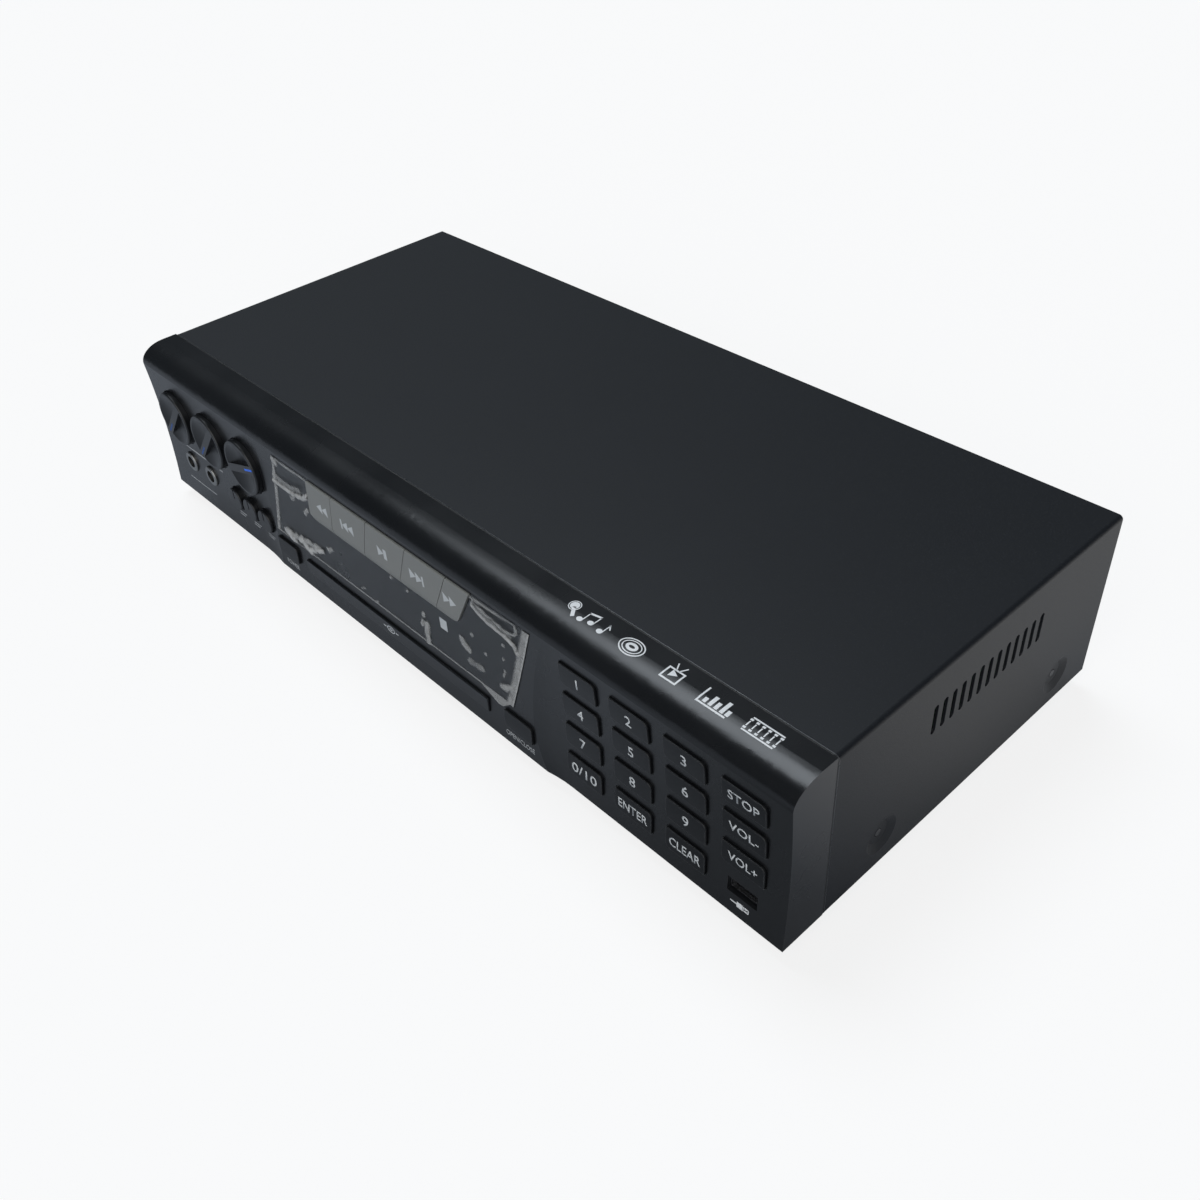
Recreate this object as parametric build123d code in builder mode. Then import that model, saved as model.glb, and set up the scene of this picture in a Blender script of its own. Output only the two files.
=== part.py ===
from build123d import *
from math import pi
import os

os.makedirs("parts", exist_ok=True)

# Karaoke machine with a disc tray. Millimetres, +Z up, front towards -Y.
# Origin: middle of the footprint, on the surface that the feet stand on.
# Places on the machine are given as x from the middle, depth behind the
# nominal face plane, and height above the underside of the body.

# Body
width = 430.0
grid = width / 43         # column of the front's layout, 10 mm
body_depth = 194.0
body_height = 79.8
foot_height = 7.0
knob_reach = 2.3          # large knobs, the foremost pieces
socket_reach = 8.0        # rear sockets, the hindmost pieces
front_y = knob_reach - (body_depth + socket_reach + knob_reach) / 2
sheet = 1.0
seam = 0.25               # gap between fascia and cover
running = 0.3             # air kept between moving pieces

# Fascia section
fascia_depth = 21.2
crease_height = 71.4      # where the concave face meets the rounded brow
face_bottom = -0.3
face_top = 0.2
face_sag = 1.45
plateau_bottom = -1.65    # the middle field stands proud of the face
plateau_sag = 0.855
plateau_left = -10.5 * grid
scoop_left = -12.2 * grid
scoop_right = 10.8 * grid
ridge_waist = 8.8 * grid  # the right edge of the middle field is bowed
ridge_waist_height = 22.0
ridge_low_flare = 7.0
ridge_high_flare = 10.5
brow_depth = 13.2
wall = 2.4
cavity_depth = 4.0        # inner face of the fascia's front wall
cavity_brow_depth = 10.5  # where the cavity's slope meets its flat top

# Tray front
tray_middle = -0.9 * grid
tray_front_wide = 137.0
tray_front_tall = 7.2
tray_front_height = 13.0
tray_front_proud = 1.0

# Keys
key_wide = 1.92 * grid
key_tall = 10.1
key_gap = 0.35
key_proud = 1.0
key_crown = 0.2
key_round = 2.5
key_edge = 0.3
flange_lip = 1.1
flange_thick = 1.0
stem_radius = 2.0
stem_depth = 5.9
key_travel = 0.5
first_column = 11.65 * grid
column_pitch = 2.64 * grid
top_row = 61.0
row_pitch = 15.57
side_button_wide = 1.7 * grid
side_button_tall = 8.5
side_button_proud = 1.2
side_button_height = 14.0
power_x = tray_middle - tray_front_wide / 2 - 1.67 * grid
open_close_x = tray_middle + tray_front_wide / 2 + 1.94 * grid

# Transport strip inside the window
strip_top = 68.7
strip_bottom = 47.0
strip_bevel = 3.0
strip_proud = 1.0
strip_ends = (-6.185 * grid, 5.01 * grid)
strip_splits = (-4.3 * grid, -1.72 * grid, 0.97 * grid, 3.55 * grid)
strip_slants = (3.7, 11.8)
strip_rounds = (4.0, 8.0)

# Window
window_bottom = 22.0
window_top = 69.5
window_low = (-10.3 * grid, 7.6 * grid)
window_high = (-9.0 * grid, 9.15 * grid)
window_thick = 1.7
window_fit = 0.15
film_thick = 0.15
film_inset = 0.3
film_tail = (             # corner of the film that hangs below the window
    (5.5 * grid, window_bottom + 0.4),
    (6.6 * grid, window_bottom - 4.2),
    (6.9 * grid, window_bottom - 3.6),
    (7.4 * grid, window_bottom + 0.4),
)
display_x = (-5.5 * grid, 2.5 * grid)
display_height = (25.0, 44.0)
display_air = (2.0, 0.5)

# Knobs and sockets on the left
knob_radius = 14.5
knob_height = 48.2
knob_first = -19.15 * grid
knob_pitch = 3.4 * grid
knob_seat = 2.0
fin_thick = 4.2
dish_reach = 12.8
dish_deep = 2.7
neck_depth = 7.4
spindle_depth = 12.0
pointer_angles = (228.0, 228.0, 18.0)
small_radius = 6.2
small_proud = 2.5
small_height = 20.2
small_first = -14.37 * grid
small_pitch = 1.435 * grid
spindle_radius = 3.0
small_spindle_radius = 2.0
spindle_fit = 0.05
jack_places = (-19.16 * grid, -17.08 * grid)
jack_height = 21.4
jack_bore_radius = 3.25
jack_ring_radius = 5.5
jack_bush_radius = 4.5
jack_block = (15.0, 13.5)
jack_block_long = 24.0
jack_bore_depth = 25.0
usb_place = (19.565 * grid, 13.6)
usb_opening = (13.6, 7.1)
usb_shell = (13.1, 5.7)
usb_wall = 0.35
usb_depth = (2.2, 16.2)
usb_tongue = (10.6, 1.8)
usb_tongue_rise = 1.1

# Boards behind the fascia
board_thick = 1.6
control_board_depth = 11.0
control_board_x = (-10.4 * grid, -10.0 * grid, -8.6 * grid, 6.7 * grid, 20.9 * grid)
control_board_heights = (9.0, 20.5, 70.0)
control_board_holes = (-9.4 * grid, 10.0 * grid, 20.5 * grid)
board_hole_radius = 1.6
microphone_board_depth = 16.0
microphone_board_middle = (-15.5 * grid, 40.0)
microphone_board_size = (9.8 * grid, 62.0)
switch_side = 6.0
switch_tall = 3.5
plunger_radius = 1.75
plunger_tip = 6.7
pot_depth = 8.6
large_pot = (17.0, 17.0)
small_pot = (10.0, 11.0)

# Disc loader
tray_wide = 130.0
tray_floor = (10.4, 15.4)
tray_span = (5.0, 172.0)
tray_travel = 130.0
disc_depth = 72.0
disc_well_radius = 61.0
disc_well_floor = 13.2
hub_well_radius = 41.0
hub_well_deep = 0.8
slot_half = 27.0
frame_span = (24.0, 178.0)
frame_wall = 6.0
frame_top = 24.0
tooth_module = 1.0
gear_teeth = 24
gear_radius = tooth_module * gear_teeth / 2
tooth_root = 1.2 * tooth_module
tooth_tip = 0.9 * tooth_module
rack_x = tray_middle + tray_wide / 2 + tooth_root
rack_band = (10.4, 13.4)
gear_depth = 36.0
gear_band = (10.8, 13.1)
gear_pin_radius = 2.0
gear_pulley_radius = 9.0
motor_x = rack_x + 16.3
motor_depth = 70.0
motor_radius = 10.0
motor_tall = 16.0
motor_neck_radius = 3.0
motor_shaft_radius = 1.0
motor_pulley_radius = 3.0
lug_height = 10.2
lug_thick = 2.0
pulley_flange = 1.6
belt_band = (5.2, 6.4)
belt_thick = 1.2
belt_air = 0.05
deck_half = 25.0
deck_span = (56.0, 152.0)
deck_floor = (3.4, 4.6)
deck_lift = 3.5
rod_radius = 1.5
rod_offset = 21.5
rod_height = 6.6
rod_span = (85.0, 150.0)
pickup_depth = rod_span[0] + 19.0
pickup_travel = 30.0

# Chassis, cover and rear
cover_air = 1.8
chassis_half = width / 2 - sheet - cover_air
flange_tall = 22.0
front_flange_depth = 21.8
front_flange_tall = 8.0
rear_flange_tall = 14.0
boss_places = (-20.65 * grid, -11.2 * grid, 9.85 * grid, 20.65 * grid)
boss_size = (8.0, 6.0)
boss_height = 5.4
vent_first = 76.5
vent_pitch = 5.53
vent_count = 13
vent_size = (2.7, 13.8)
vent_height = 56.0
dimple_places = ((52.7, 15.7), (167.7, 15.0))
dimple_radius = 8.5
dimple_floor_radius = 5.0
dimple_deep = 1.6
cover_bend = 2.0
screw_head_radius = 3.4
screw_radius = 1.7
screw_head_thick = 1.5
screw_long = 8.0
foot_radius = 11.0
foot_places = (17.8 * grid, 40.0, 166.0)
rear_depth = 192.4
rear_screws = (-20.4 * grid, -8.0 * grid, 6.0 * grid, 20.4 * grid)
rear_screw_height = 9.0
rear_vent_place = (-10.0 * grid, 52.0)
rear_vent_size = (3.0, 20.0)
rear_vent_pitch = 6.0
rear_vent_count = 12
board_height = 7.0
standoff_radius = 3.0
main_board_box = (7.2 * grid, 20.0 * grid, 92.0, 184.0)
power_board_box = (-20.6 * grid, -10.4 * grid, 104.0, 184.0)
# parts on the boards: left, right, near and far from the board's near left corner
main_chips = ((40, 64, 20, 44), (76, 96, 26, 38), (18, 28, 28, 54))
main_connectors = ((38, 78, 2, 8), (90, 110, 58, 68))
chip_tall = 2.0
connector_tall = 9.0
capacitor_places = ((16.0, 16.0), (30.0, 16.0), (84.0, 66.0))
capacitor_radius = 6.0
capacitor_tall = 25.0
heat_sink = (46.0, 49.0, 16.0, 66.0)
heat_sink_fin = (48.5, 58.0, 18.0, 20.0)
heat_sink_pitch = 15.0
heat_sink_tall = 30.0
transformer_box = (-19.6 * grid, -14.2 * grid, 52.0, 94.0)
core_tall = 42.0
coil_reach = 9.0
coil_band = (8.0, 34.0)
core_flange = 7.0
rca_columns = (10.0 * grid, 11.6 * grid, 13.2 * grid, 14.8 * grid)
rca_rows = (20.0, 34.0)
rca_radius = 4.15
rca_collar = 0.35
rca_bore_radius = 1.65
rca_block = 9.0
inlet_place = (-17.8 * grid, 30.0)
inlet_opening = (24.0, 14.0)
inlet_flange = (30.0, 20.0)
inlet_pocket = (16.4, 8.2)
inlet_pin_pitch = 8.6
inlet_pin_radius = 1.2

key_flange_depth = cavity_depth + running


def facing(depth):
    # sketch plane seen from the front: x across, y up from the underside
    return Plane((0, front_y + depth, foot_height), x_dir=(1, 0, 0), z_dir=(0, -1, 0))


def level(height):
    # sketch plane seen from above: x across, y is depth behind the face
    return Plane((0, front_y, foot_height + height))


def side(x=0):
    # sketch plane seen from the right: x is depth, y is height
    return Plane((x, front_y, foot_height), x_dir=(0, 1, 0), z_dir=(1, 0, 0))


def face_at(height):
    part_way = height / crease_height
    chord = face_bottom + (face_top - face_bottom) * part_way
    return chord + 4 * face_sag * part_way * (1 - part_way)


def plateau_at(height):
    part_way = height / crease_height
    chord = plateau_bottom + (face_top - plateau_bottom) * part_way
    return chord + 4 * plateau_sag * part_way * (1 - part_way)


def ridge_at(height):
    if height < ridge_waist_height:
        below = (ridge_waist_height - height) / ridge_waist_height
        return ridge_waist + ridge_low_flare * below**2
    above = (height - ridge_waist_height) / (crease_height - ridge_waist_height)
    return ridge_waist + ridge_high_flare * above**2


def plateau_arc(step):
    heights = (0, crease_height / 2, crease_height)
    return ThreePointArc(*[(plateau_at(h) + step, h) for h in heights])


def plateau_band(front, back):
    # closed side profile between two steps behind the plateau's surface
    with BuildLine() as band:
        near = plateau_arc(front)
        far = plateau_arc(back)
        Line(near @ 0, far @ 0)
        Line(near @ 1, far @ 1)
    make_face(band.line)


def leaf(x, height, wide, tall, grow=0.0):
    # rectangle with its top right and bottom left corners rounded
    half_wide = wide / 2 + grow
    half_tall = tall / 2 + grow
    r = key_round + grow
    with BuildLine() as outline:
        CenterArc((x + half_wide - r, height + half_tall - r), r, 0, 90)
        CenterArc((x - half_wide + r, height - half_tall + r), r, 180, 90)
        Polyline(
            (x + half_wide - r, height + half_tall),
            (x - half_wide, height + half_tall),
            (x - half_wide, height - half_tall + r),
        )
        Polyline(
            (x - half_wide + r, height - half_tall),
            (x + half_wide, height - half_tall),
            (x + half_wide, height + half_tall - r),
        )
    make_face(outline.line)


def window_outline(grow=0.0):
    low = window_bottom - grow
    high = window_top + grow
    Polygon(
        (window_low[0] - grow, low),
        (window_low[1] + grow, low),
        (window_high[1] + grow, high),
        (window_high[0] - grow, high),
        align=None,
    )


def strip_line(split, height):
    # x at this height of the slanted line that crosses the strip at split
    share = (split - strip_ends[0]) / (strip_ends[1] - strip_ends[0])
    slant = strip_slants[0] + share * (strip_slants[1] - strip_slants[0])
    middle = (strip_top + strip_bottom) / 2
    return split + slant * (height - middle) / (strip_top - strip_bottom)


def strip_cell(left, right, grow, low, high):
    # outline between two slanted lines of the strip
    Polygon(
        (strip_line(left, low) - grow, low),
        (strip_line(right, low) + grow, low),
        (strip_line(right, high) + grow, high),
        (strip_line(left, high) - grow, high),
        align=None,
    )


def strip_outline(grow=0.0):
    # the whole strip, its lower corners rounded
    strip_cell(*strip_ends, grow, strip_bottom - grow, strip_top + grow)
    low_corners = vertices().group_by(Axis.Y)[0].sort_by(Axis.X)
    fillet(low_corners[0], strip_rounds[0] + grow)
    low_corners = vertices().group_by(Axis.Y)[0].sort_by(Axis.X)
    fillet(low_corners[-1], strip_rounds[1] + grow)


def save(piece, name):
    piece.label = name
    export_step(piece, f"parts/{name}.step")


keypad = {}
keypad_names = (
    ("key_1", "key_2", "key_3", "key_stop"),
    ("key_4", "key_5", "key_6", "key_volume_down"),
    ("key_7", "key_8", "key_9", "key_volume_up"),
    ("key_zero", "key_enter", "key_clear"),
)
for row, names in enumerate(keypad_names):
    for column, name in enumerate(names):
        keypad[name] = (first_column + column * column_pitch, top_row - row * row_pitch)

strip_edges = (strip_ends[0],) + strip_splits + (strip_ends[1],)
knob_sides = ("left", "middle", "right")
strip_names = ("key_rewind", "key_previous", "key_play", "key_next", "key_forward")
strip_middle = (strip_top + strip_bottom) / 2 + 1.0
large_knobs = [knob_first + n * knob_pitch for n in range(3)]
small_knobs = [small_first + n * small_pitch for n in range(3)]
boss_corners = [(x, boss_height) for x in boss_places]


# ---- Fascia: moulded shell with a concave face, a proud middle field and a brow

with BuildPart() as window_pocket:
    with BuildSketch(facing(cavity_depth)):
        window_outline(window_fit)
    extrude(amount=cavity_depth + 4)
    with BuildSketch(side()):
        plateau_band(-3.0, window_thick + 0.1)
    extrude(amount=width / 2, both=True, mode=Mode.INTERSECT)

with BuildPart() as strip_opening:
    with BuildSketch(facing(cavity_depth + 1)):
        strip_outline(running)
    extrude(amount=cavity_depth + 8)

with BuildPart() as front_fascia:
    # front skin, lofted through plan sections so that the ridge can bow
    for height in (0, 10, 22, 36, 50, 62, crease_height):
        with BuildSketch(level(height)):
            with BuildLine():
                face = face_at(height)
                field = plateau_at(height)
                ridge = ridge_at(height)
                Polyline((scoop_right, face), (width / 2, face), (width / 2, 6))
                Polyline((width / 2, 6), (-width / 2, 6), (-width / 2, face))
                Line((-width / 2, face), (scoop_left, face))
                left_middle = (scoop_left + plateau_left) / 2
                Bezier((scoop_left, face), (left_middle, face), (plateau_left, field))
                Line((plateau_left, field), (ridge, field))
                Bezier((ridge, field), ((ridge + scoop_right) / 2, face), (scoop_right, face))
            make_face()
    loft()
    # brow and the block behind the skin
    with BuildSketch(side()):
        with BuildLine():
            brow_centre = (face_top + brow_depth, crease_height)
            brow_rise = body_height - crease_height
            brow = EllipticalCenterArc(brow_centre, brow_depth, brow_rise, 90, arc_size=90)
            Polyline(brow @ 1, (5, crease_height), (5, 0), (fascia_depth, 0))
            Polyline((fascia_depth, 0), (fascia_depth, body_height), brow @ 0)
        make_face()
    extrude(amount=width / 2, both=True)
    # cavity
    with BuildSketch(side()):
        Polygon(
            (cavity_depth, wall),
            (cavity_depth, crease_height),
            (cavity_brow_depth, body_height - wall),
            (fascia_depth + 1, body_height - wall),
            (fascia_depth + 1, wall),
            align=None,
        )
    extrude(amount=width / 2 - wall, both=True, mode=Mode.SUBTRACT)
    add(window_pocket.part, mode=Mode.SUBTRACT)
    add(strip_opening.part, mode=Mode.SUBTRACT)
    # openings through the front wall
    with BuildSketch(facing(cavity_depth + 1)):
        for x, height in keypad.values():
            leaf(x, height, key_wide, key_tall, key_gap)
        for x in (power_x, open_close_x):
            leaf(x, side_button_height, side_button_wide, side_button_tall, key_gap)
        with Locations(((display_x[0] + display_x[1]) / 2, sum(display_height) / 2)):
            Rectangle(display_x[1] - display_x[0], display_height[1] - display_height[0])
        with Locations((tray_middle, tray_front_height)):
            Rectangle(tray_front_wide + 2 * running, tray_front_tall + 2 * running)
        with Locations(usb_place):
            Rectangle(*usb_opening)
        with Locations([(x, knob_height) for x in large_knobs]):
            Circle(spindle_radius + 2.5)
        with Locations([(x, small_height) for x in small_knobs]):
            Circle(small_spindle_radius + 2)
        with Locations([(x, jack_height) for x in jack_places]):
            Circle(jack_bush_radius + 0.1)
    extrude(amount=cavity_depth + 8, mode=Mode.SUBTRACT)
    # flat seats under the knobs and socket rings
    with BuildSketch(facing(knob_seat)):
        with Locations([(x, knob_height) for x in large_knobs]):
            Circle(knob_radius + 0.5)
        with Locations([(x, small_height) for x in small_knobs]):
            Circle(small_radius + 0.45)
        with Locations([(x, jack_height) for x in jack_places]):
            Circle(jack_ring_radius + 0.2)
    extrude(amount=6, mode=Mode.SUBTRACT)
    # screw bosses that reach the chassis
    with BuildSketch(facing(cavity_depth)):
        with Locations(boss_corners):
            Rectangle(*boss_size)
    extrude(amount=cavity_depth - front_flange_depth)
    with BuildSketch(facing(fascia_depth + 1)):
        with Locations(boss_corners):
            Circle(screw_radius + 0.05)
    extrude(amount=screw_long + 1, mode=Mode.SUBTRACT)
save(front_fascia.part, "front_fascia")


# ---- Window and its protective film

with BuildPart() as display_window:
    with BuildSketch(facing(cavity_depth)):
        window_outline()
    extrude(amount=cavity_depth + 4)
    with BuildSketch(side()):
        plateau_band(-0.1, window_thick)
    extrude(amount=width / 2, both=True, mode=Mode.INTERSECT)
    add(strip_opening.part, mode=Mode.SUBTRACT)
save(display_window.part, "display_window")

with BuildPart() as protective_film:
    with BuildSketch(facing(cavity_depth)):
        window_outline(-film_inset)
        Polygon(*film_tail, align=None)
    extrude(amount=cavity_depth + 4)
    with BuildSketch(side()):
        plateau_band(-2 * film_thick, -film_thick)
    extrude(amount=width / 2, both=True, mode=Mode.INTERSECT)
    add(strip_opening.part, mode=Mode.SUBTRACT)
save(protective_film.part, "protective_film")


# ---- Keys: crowned cap, retaining flange and stem


def key_face(height, tall, proud, surface):
    # crowned side profile, from well behind the flange to the key's face
    half = tall / 2 + 1
    with BuildLine() as profile:
        crown = ThreePointArc(
            (surface(height - half) - proud, height - half),
            (surface(height) - proud - key_crown, height),
            (surface(height + half) - proud, height + half),
        )
        Polyline(crown @ 0, (9, height - half), (9, height + half), crown @ 1)
    make_face(profile.line)


def finish_key(x, height, flange_wide, flange_tall):
    with BuildSketch(facing(key_flange_depth)) as flange:
        with Locations((x, height)):
            Rectangle(flange_wide, flange_tall)
    extrude(flange.sketch, amount=-flange_thick)
    with BuildSketch(facing(key_flange_depth)) as stem:
        with Locations((x, height)):
            Circle(stem_radius)
    extrude(stem.sketch, amount=key_flange_depth - stem_depth)


def leaf_key(name, x, height, wide, tall, proud, surface):
    with BuildPart() as key:
        with BuildSketch(facing(key_flange_depth)):
            leaf(x, height, wide, tall)
        extrude(amount=key_flange_depth + 4)
        with BuildSketch(side()):
            key_face(height, tall, proud, surface)
        extrude(amount=width / 2, both=True, mode=Mode.INTERSECT)
        fillet(faces().sort_by(Axis.Y)[0].edges(), key_edge)
        finish_key(x, height, wide + 2 * flange_lip, tall + 2 * flange_lip)
    save(key.part, name)


for name, (x, height) in keypad.items():
    leaf_key(name, x, height, key_wide, key_tall, key_proud, face_at)
for name, x in (("power_button", power_x), ("open_close_button", open_close_x)):
    leaf_key(
        name,
        x,
        side_button_height,
        side_button_wide,
        side_button_tall,
        side_button_proud,
        plateau_at,
    )

# transport keys: one bevelled strip, divided along slanted lines
with BuildPart() as strip_blank:
    with BuildSketch(facing(key_flange_depth)):
        strip_outline()
    extrude(amount=key_flange_depth + 4)
    with BuildSketch(side()):
        Polygon(
            (9, strip_bottom),
            (plateau_at(strip_bottom) - 0.2, strip_bottom),
            (plateau_at(strip_bottom) - strip_proud, strip_bottom + strip_bevel),
            (plateau_at(strip_top) - strip_proud, strip_top - key_edge),
            (plateau_at(strip_top) - strip_proud + key_edge, strip_top),
            (9, strip_top),
            align=None,
        )
    extrude(amount=width / 2, both=True, mode=Mode.INTERSECT)

for name, left, right in zip(strip_names, strip_edges, strip_edges[1:]):
    left_gap = 0 if left == strip_ends[0] else key_gap / 2
    right_gap = 0 if right == strip_ends[1] else key_gap / 2
    with BuildPart() as key:
        add(strip_blank.part)
        with BuildSketch(facing(key_flange_depth)):
            strip_cell(left + left_gap, right - right_gap, 0, strip_bottom, strip_top)
        extrude(amount=key_flange_depth + 4, mode=Mode.INTERSECT)
        with BuildSketch(facing(key_flange_depth)):
            strip_cell(
                left + left_gap,
                right - right_gap,
                0,
                strip_bottom - flange_lip,
                strip_top + flange_lip,
            )
        extrude(amount=-flange_thick)
        with BuildSketch(facing(key_flange_depth)):
            with Locations(((left + right) / 2, strip_middle)):
                Circle(stem_radius)
        extrude(amount=key_flange_depth - stem_depth)
    save(key.part, name)


# ---- Knobs with their spindles


def knob_blank(x, height, radius, front, hub, spindle, edge):
    # disc with a rounded rim, a neck and the spindle
    with BuildSketch(facing(knob_seat - running)) as disc:
        with Locations((x, height)):
            Circle(radius)
    extrude(disc.sketch, amount=knob_seat - running - front)
    fillet(faces().sort_by(Axis.Y)[0].edges(), edge)
    with BuildSketch(facing(knob_seat - running)) as neck:
        with Locations((x, height)):
            Circle(hub)
    extrude(neck.sketch, amount=knob_seat - neck_depth)
    with BuildSketch(facing(knob_seat)) as rod:
        with Locations((x, height)):
            Circle(spindle)
    extrude(rod.sketch, amount=knob_seat - spindle_depth)


for place, x, angle in zip(knob_sides, large_knobs, pointer_angles):
    # a shallow dish either side of a grip fin that crosses the knob
    with BuildPart() as dish:
        dish_radius = (dish_reach**2 + dish_deep**2) / (2 * dish_deep)
        dish_centre = front_y - knob_reach + dish_deep - dish_radius
        with Locations((x, dish_centre, foot_height + knob_height)):
            Sphere(dish_radius)
        with BuildSketch(facing(dish_deep)):
            with Locations(Location((x, knob_height, 0), (0, 0, angle))):
                Rectangle(2 * knob_radius, fin_thick)
        extrude(amount=2 * dish_deep + knob_reach, mode=Mode.SUBTRACT)
    with BuildPart() as large_knob:
        knob_blank(x, knob_height, knob_radius, -knob_reach, 5.0, spindle_radius, 0.8)
        add(dish.part, mode=Mode.SUBTRACT)
    save(large_knob.part, f"large_knob_{place}")

small_front = face_at(small_height) - small_proud
for place, x in zip(knob_sides, small_knobs):
    with BuildPart() as small_knob:
        knob_blank(x, small_height, small_radius, small_front, 3.2, small_spindle_radius, 0.7)
        # pointer groove
        with BuildSketch(facing(small_front + 0.5)):
            with Locations((x, small_height + small_radius / 2 + 0.6)):
                Rectangle(0.9, small_radius)
        extrude(amount=2, mode=Mode.SUBTRACT)
    save(small_knob.part, f"small_knob_{place}")


# ---- Sockets in the fascia

with BuildPart() as microphone_sockets:
    places = [(x, jack_height) for x in jack_places]
    with BuildSketch(facing(knob_seat)):
        with Locations(places):
            Circle(jack_ring_radius)
    extrude(amount=knob_seat)
    chamfer(faces().filter_by(Axis.Y).sort_by(Axis.Y)[:2].edges(), 0.4)
    with BuildSketch(facing(knob_seat)):
        with Locations(places):
            Circle(jack_bush_radius)
    extrude(amount=-(cavity_depth + 1 - knob_seat))
    with BuildSketch(facing(cavity_depth + 0.6)):
        with Locations(places):
            Rectangle(*jack_block)
    extrude(amount=-jack_block_long)
    with BuildSketch(facing(-1.0)):
        with Locations(places):
            Circle(jack_bore_radius)
    extrude(amount=-jack_bore_depth - 1, mode=Mode.SUBTRACT)
save(microphone_sockets.part, "microphone_sockets")

with BuildPart() as usb_socket:
    usb_front, usb_back = usb_depth
    with BuildSketch(facing(usb_front)):
        with Locations(usb_place):
            Rectangle(*usb_shell)
            Rectangle(
                usb_shell[0] - 2 * usb_wall,
                usb_shell[1] - 2 * usb_wall,
                mode=Mode.SUBTRACT,
            )
    extrude(amount=usb_front - usb_back)
    # closed back, and the tongue that carries the contacts
    with BuildSketch(facing(usb_back - 1)):
        with Locations(usb_place):
            Rectangle(*usb_shell)
    extrude(amount=-1.0)
    with BuildSketch(facing(usb_front + 1.4)):
        with Locations((usb_place[0], usb_place[1] + usb_tongue_rise)):
            Rectangle(*usb_tongue)
    extrude(amount=usb_front + 2 - usb_back)
save(usb_socket.part, "usb_socket")


# ---- Boards, switches, potentiometers and the digit display

stems = list(keypad.values())
stems += [(power_x, side_button_height), (open_close_x, side_button_height)]
for left, right in zip(strip_edges, strip_edges[1:]):
    stems.append(((left + right) / 2, strip_middle))

with BuildPart() as control_board:
    board_low, board_step, board_high = control_board_heights
    lobe_left, left, lobe_right, bay_right, right = control_board_x
    with BuildSketch(facing(control_board_depth)):
        # bay over the tray, with a lobe down to the button at each side of it
        Polygon(
            (lobe_left, board_low),
            (lobe_right, board_low),
            (lobe_right, board_step),
            (bay_right, board_step),
            (bay_right, board_low),
            (right, board_low),
            (right, board_high),
            (left, board_high),
            (left, board_step),
            (lobe_left, board_step),
            align=None,
        )
        with Locations(usb_place):
            Rectangle(usb_shell[0] + 0.2, usb_shell[1] + 0.2, mode=Mode.SUBTRACT)
        with Locations([(x, board_high - 5) for x in control_board_holes]):
            Circle(board_hole_radius, mode=Mode.SUBTRACT)
    extrude(amount=-board_thick)
save(control_board.part, "control_board")

with BuildPart() as tact_switches:
    with BuildSketch(facing(control_board_depth)):
        with Locations(stems):
            Rectangle(switch_side, switch_side)
    extrude(amount=switch_tall)
    with BuildSketch(facing(control_board_depth - switch_tall)):
        with Locations(stems):
            Circle(plunger_radius)
    extrude(amount=control_board_depth - switch_tall - plunger_tip)
save(tact_switches.part, "tact_switches")

with BuildPart() as display_module:
    with BuildSketch(facing(control_board_depth)):
        with Locations(((display_x[0] + display_x[1]) / 2, sum(display_height) / 2)):
            Rectangle(
                display_x[1] - display_x[0] - 2 * display_air[0],
                display_height[1] - display_height[0] - 2 * display_air[1],
            )
    extrude(amount=control_board_depth - cavity_depth - 0.4)
save(display_module.part, "display_module")

with BuildPart() as microphone_board:
    with BuildSketch(facing(microphone_board_depth)):
        with Locations(microphone_board_middle):
            Rectangle(*microphone_board_size)
        with Locations([(x, jack_height) for x in jack_places]):
            Rectangle(jack_block[0] + 0.4, jack_block[1] + 0.4, mode=Mode.SUBTRACT)
    extrude(amount=-board_thick)
save(microphone_board.part, "microphone_board")

with BuildPart() as potentiometers:
    with BuildSketch(facing(pot_depth)):
        with Locations([(x, knob_height) for x in large_knobs]):
            Rectangle(*large_pot)
        with Locations([(x, small_height) for x in small_knobs]):
            Rectangle(*small_pot)
    extrude(amount=pot_depth - microphone_board_depth)
    with BuildSketch(facing(pot_depth - 1)):
        with Locations([(x, knob_height) for x in large_knobs]):
            Circle(spindle_radius + spindle_fit)
        with Locations([(x, small_height) for x in small_knobs]):
            Circle(small_spindle_radius + spindle_fit)
    extrude(amount=pot_depth - 1 - spindle_depth - running, mode=Mode.SUBTRACT)
save(potentiometers.part, "potentiometers")


# ---- Disc loader

with BuildPart() as tray_front:
    with BuildSketch(facing(tray_span[0])):
        with Locations((tray_middle, tray_front_height)):
            Rectangle(tray_front_wide, tray_front_tall)
    extrude(amount=tray_span[0] - plateau_at(tray_front_height) + tray_front_proud)
    fillet(faces().sort_by(Axis.Y)[0].edges(), 0.4)
    # clips that hold the front to the tray
    with BuildSketch(facing(tray_span[0])):
        with Locations([(tray_middle + x, tray_floor[0] - 0.7) for x in (-50, 50)]):
            Rectangle(12.0, 1.2)
    extrude(amount=-6.0)
save(tray_front.part, "tray_front")

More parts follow.
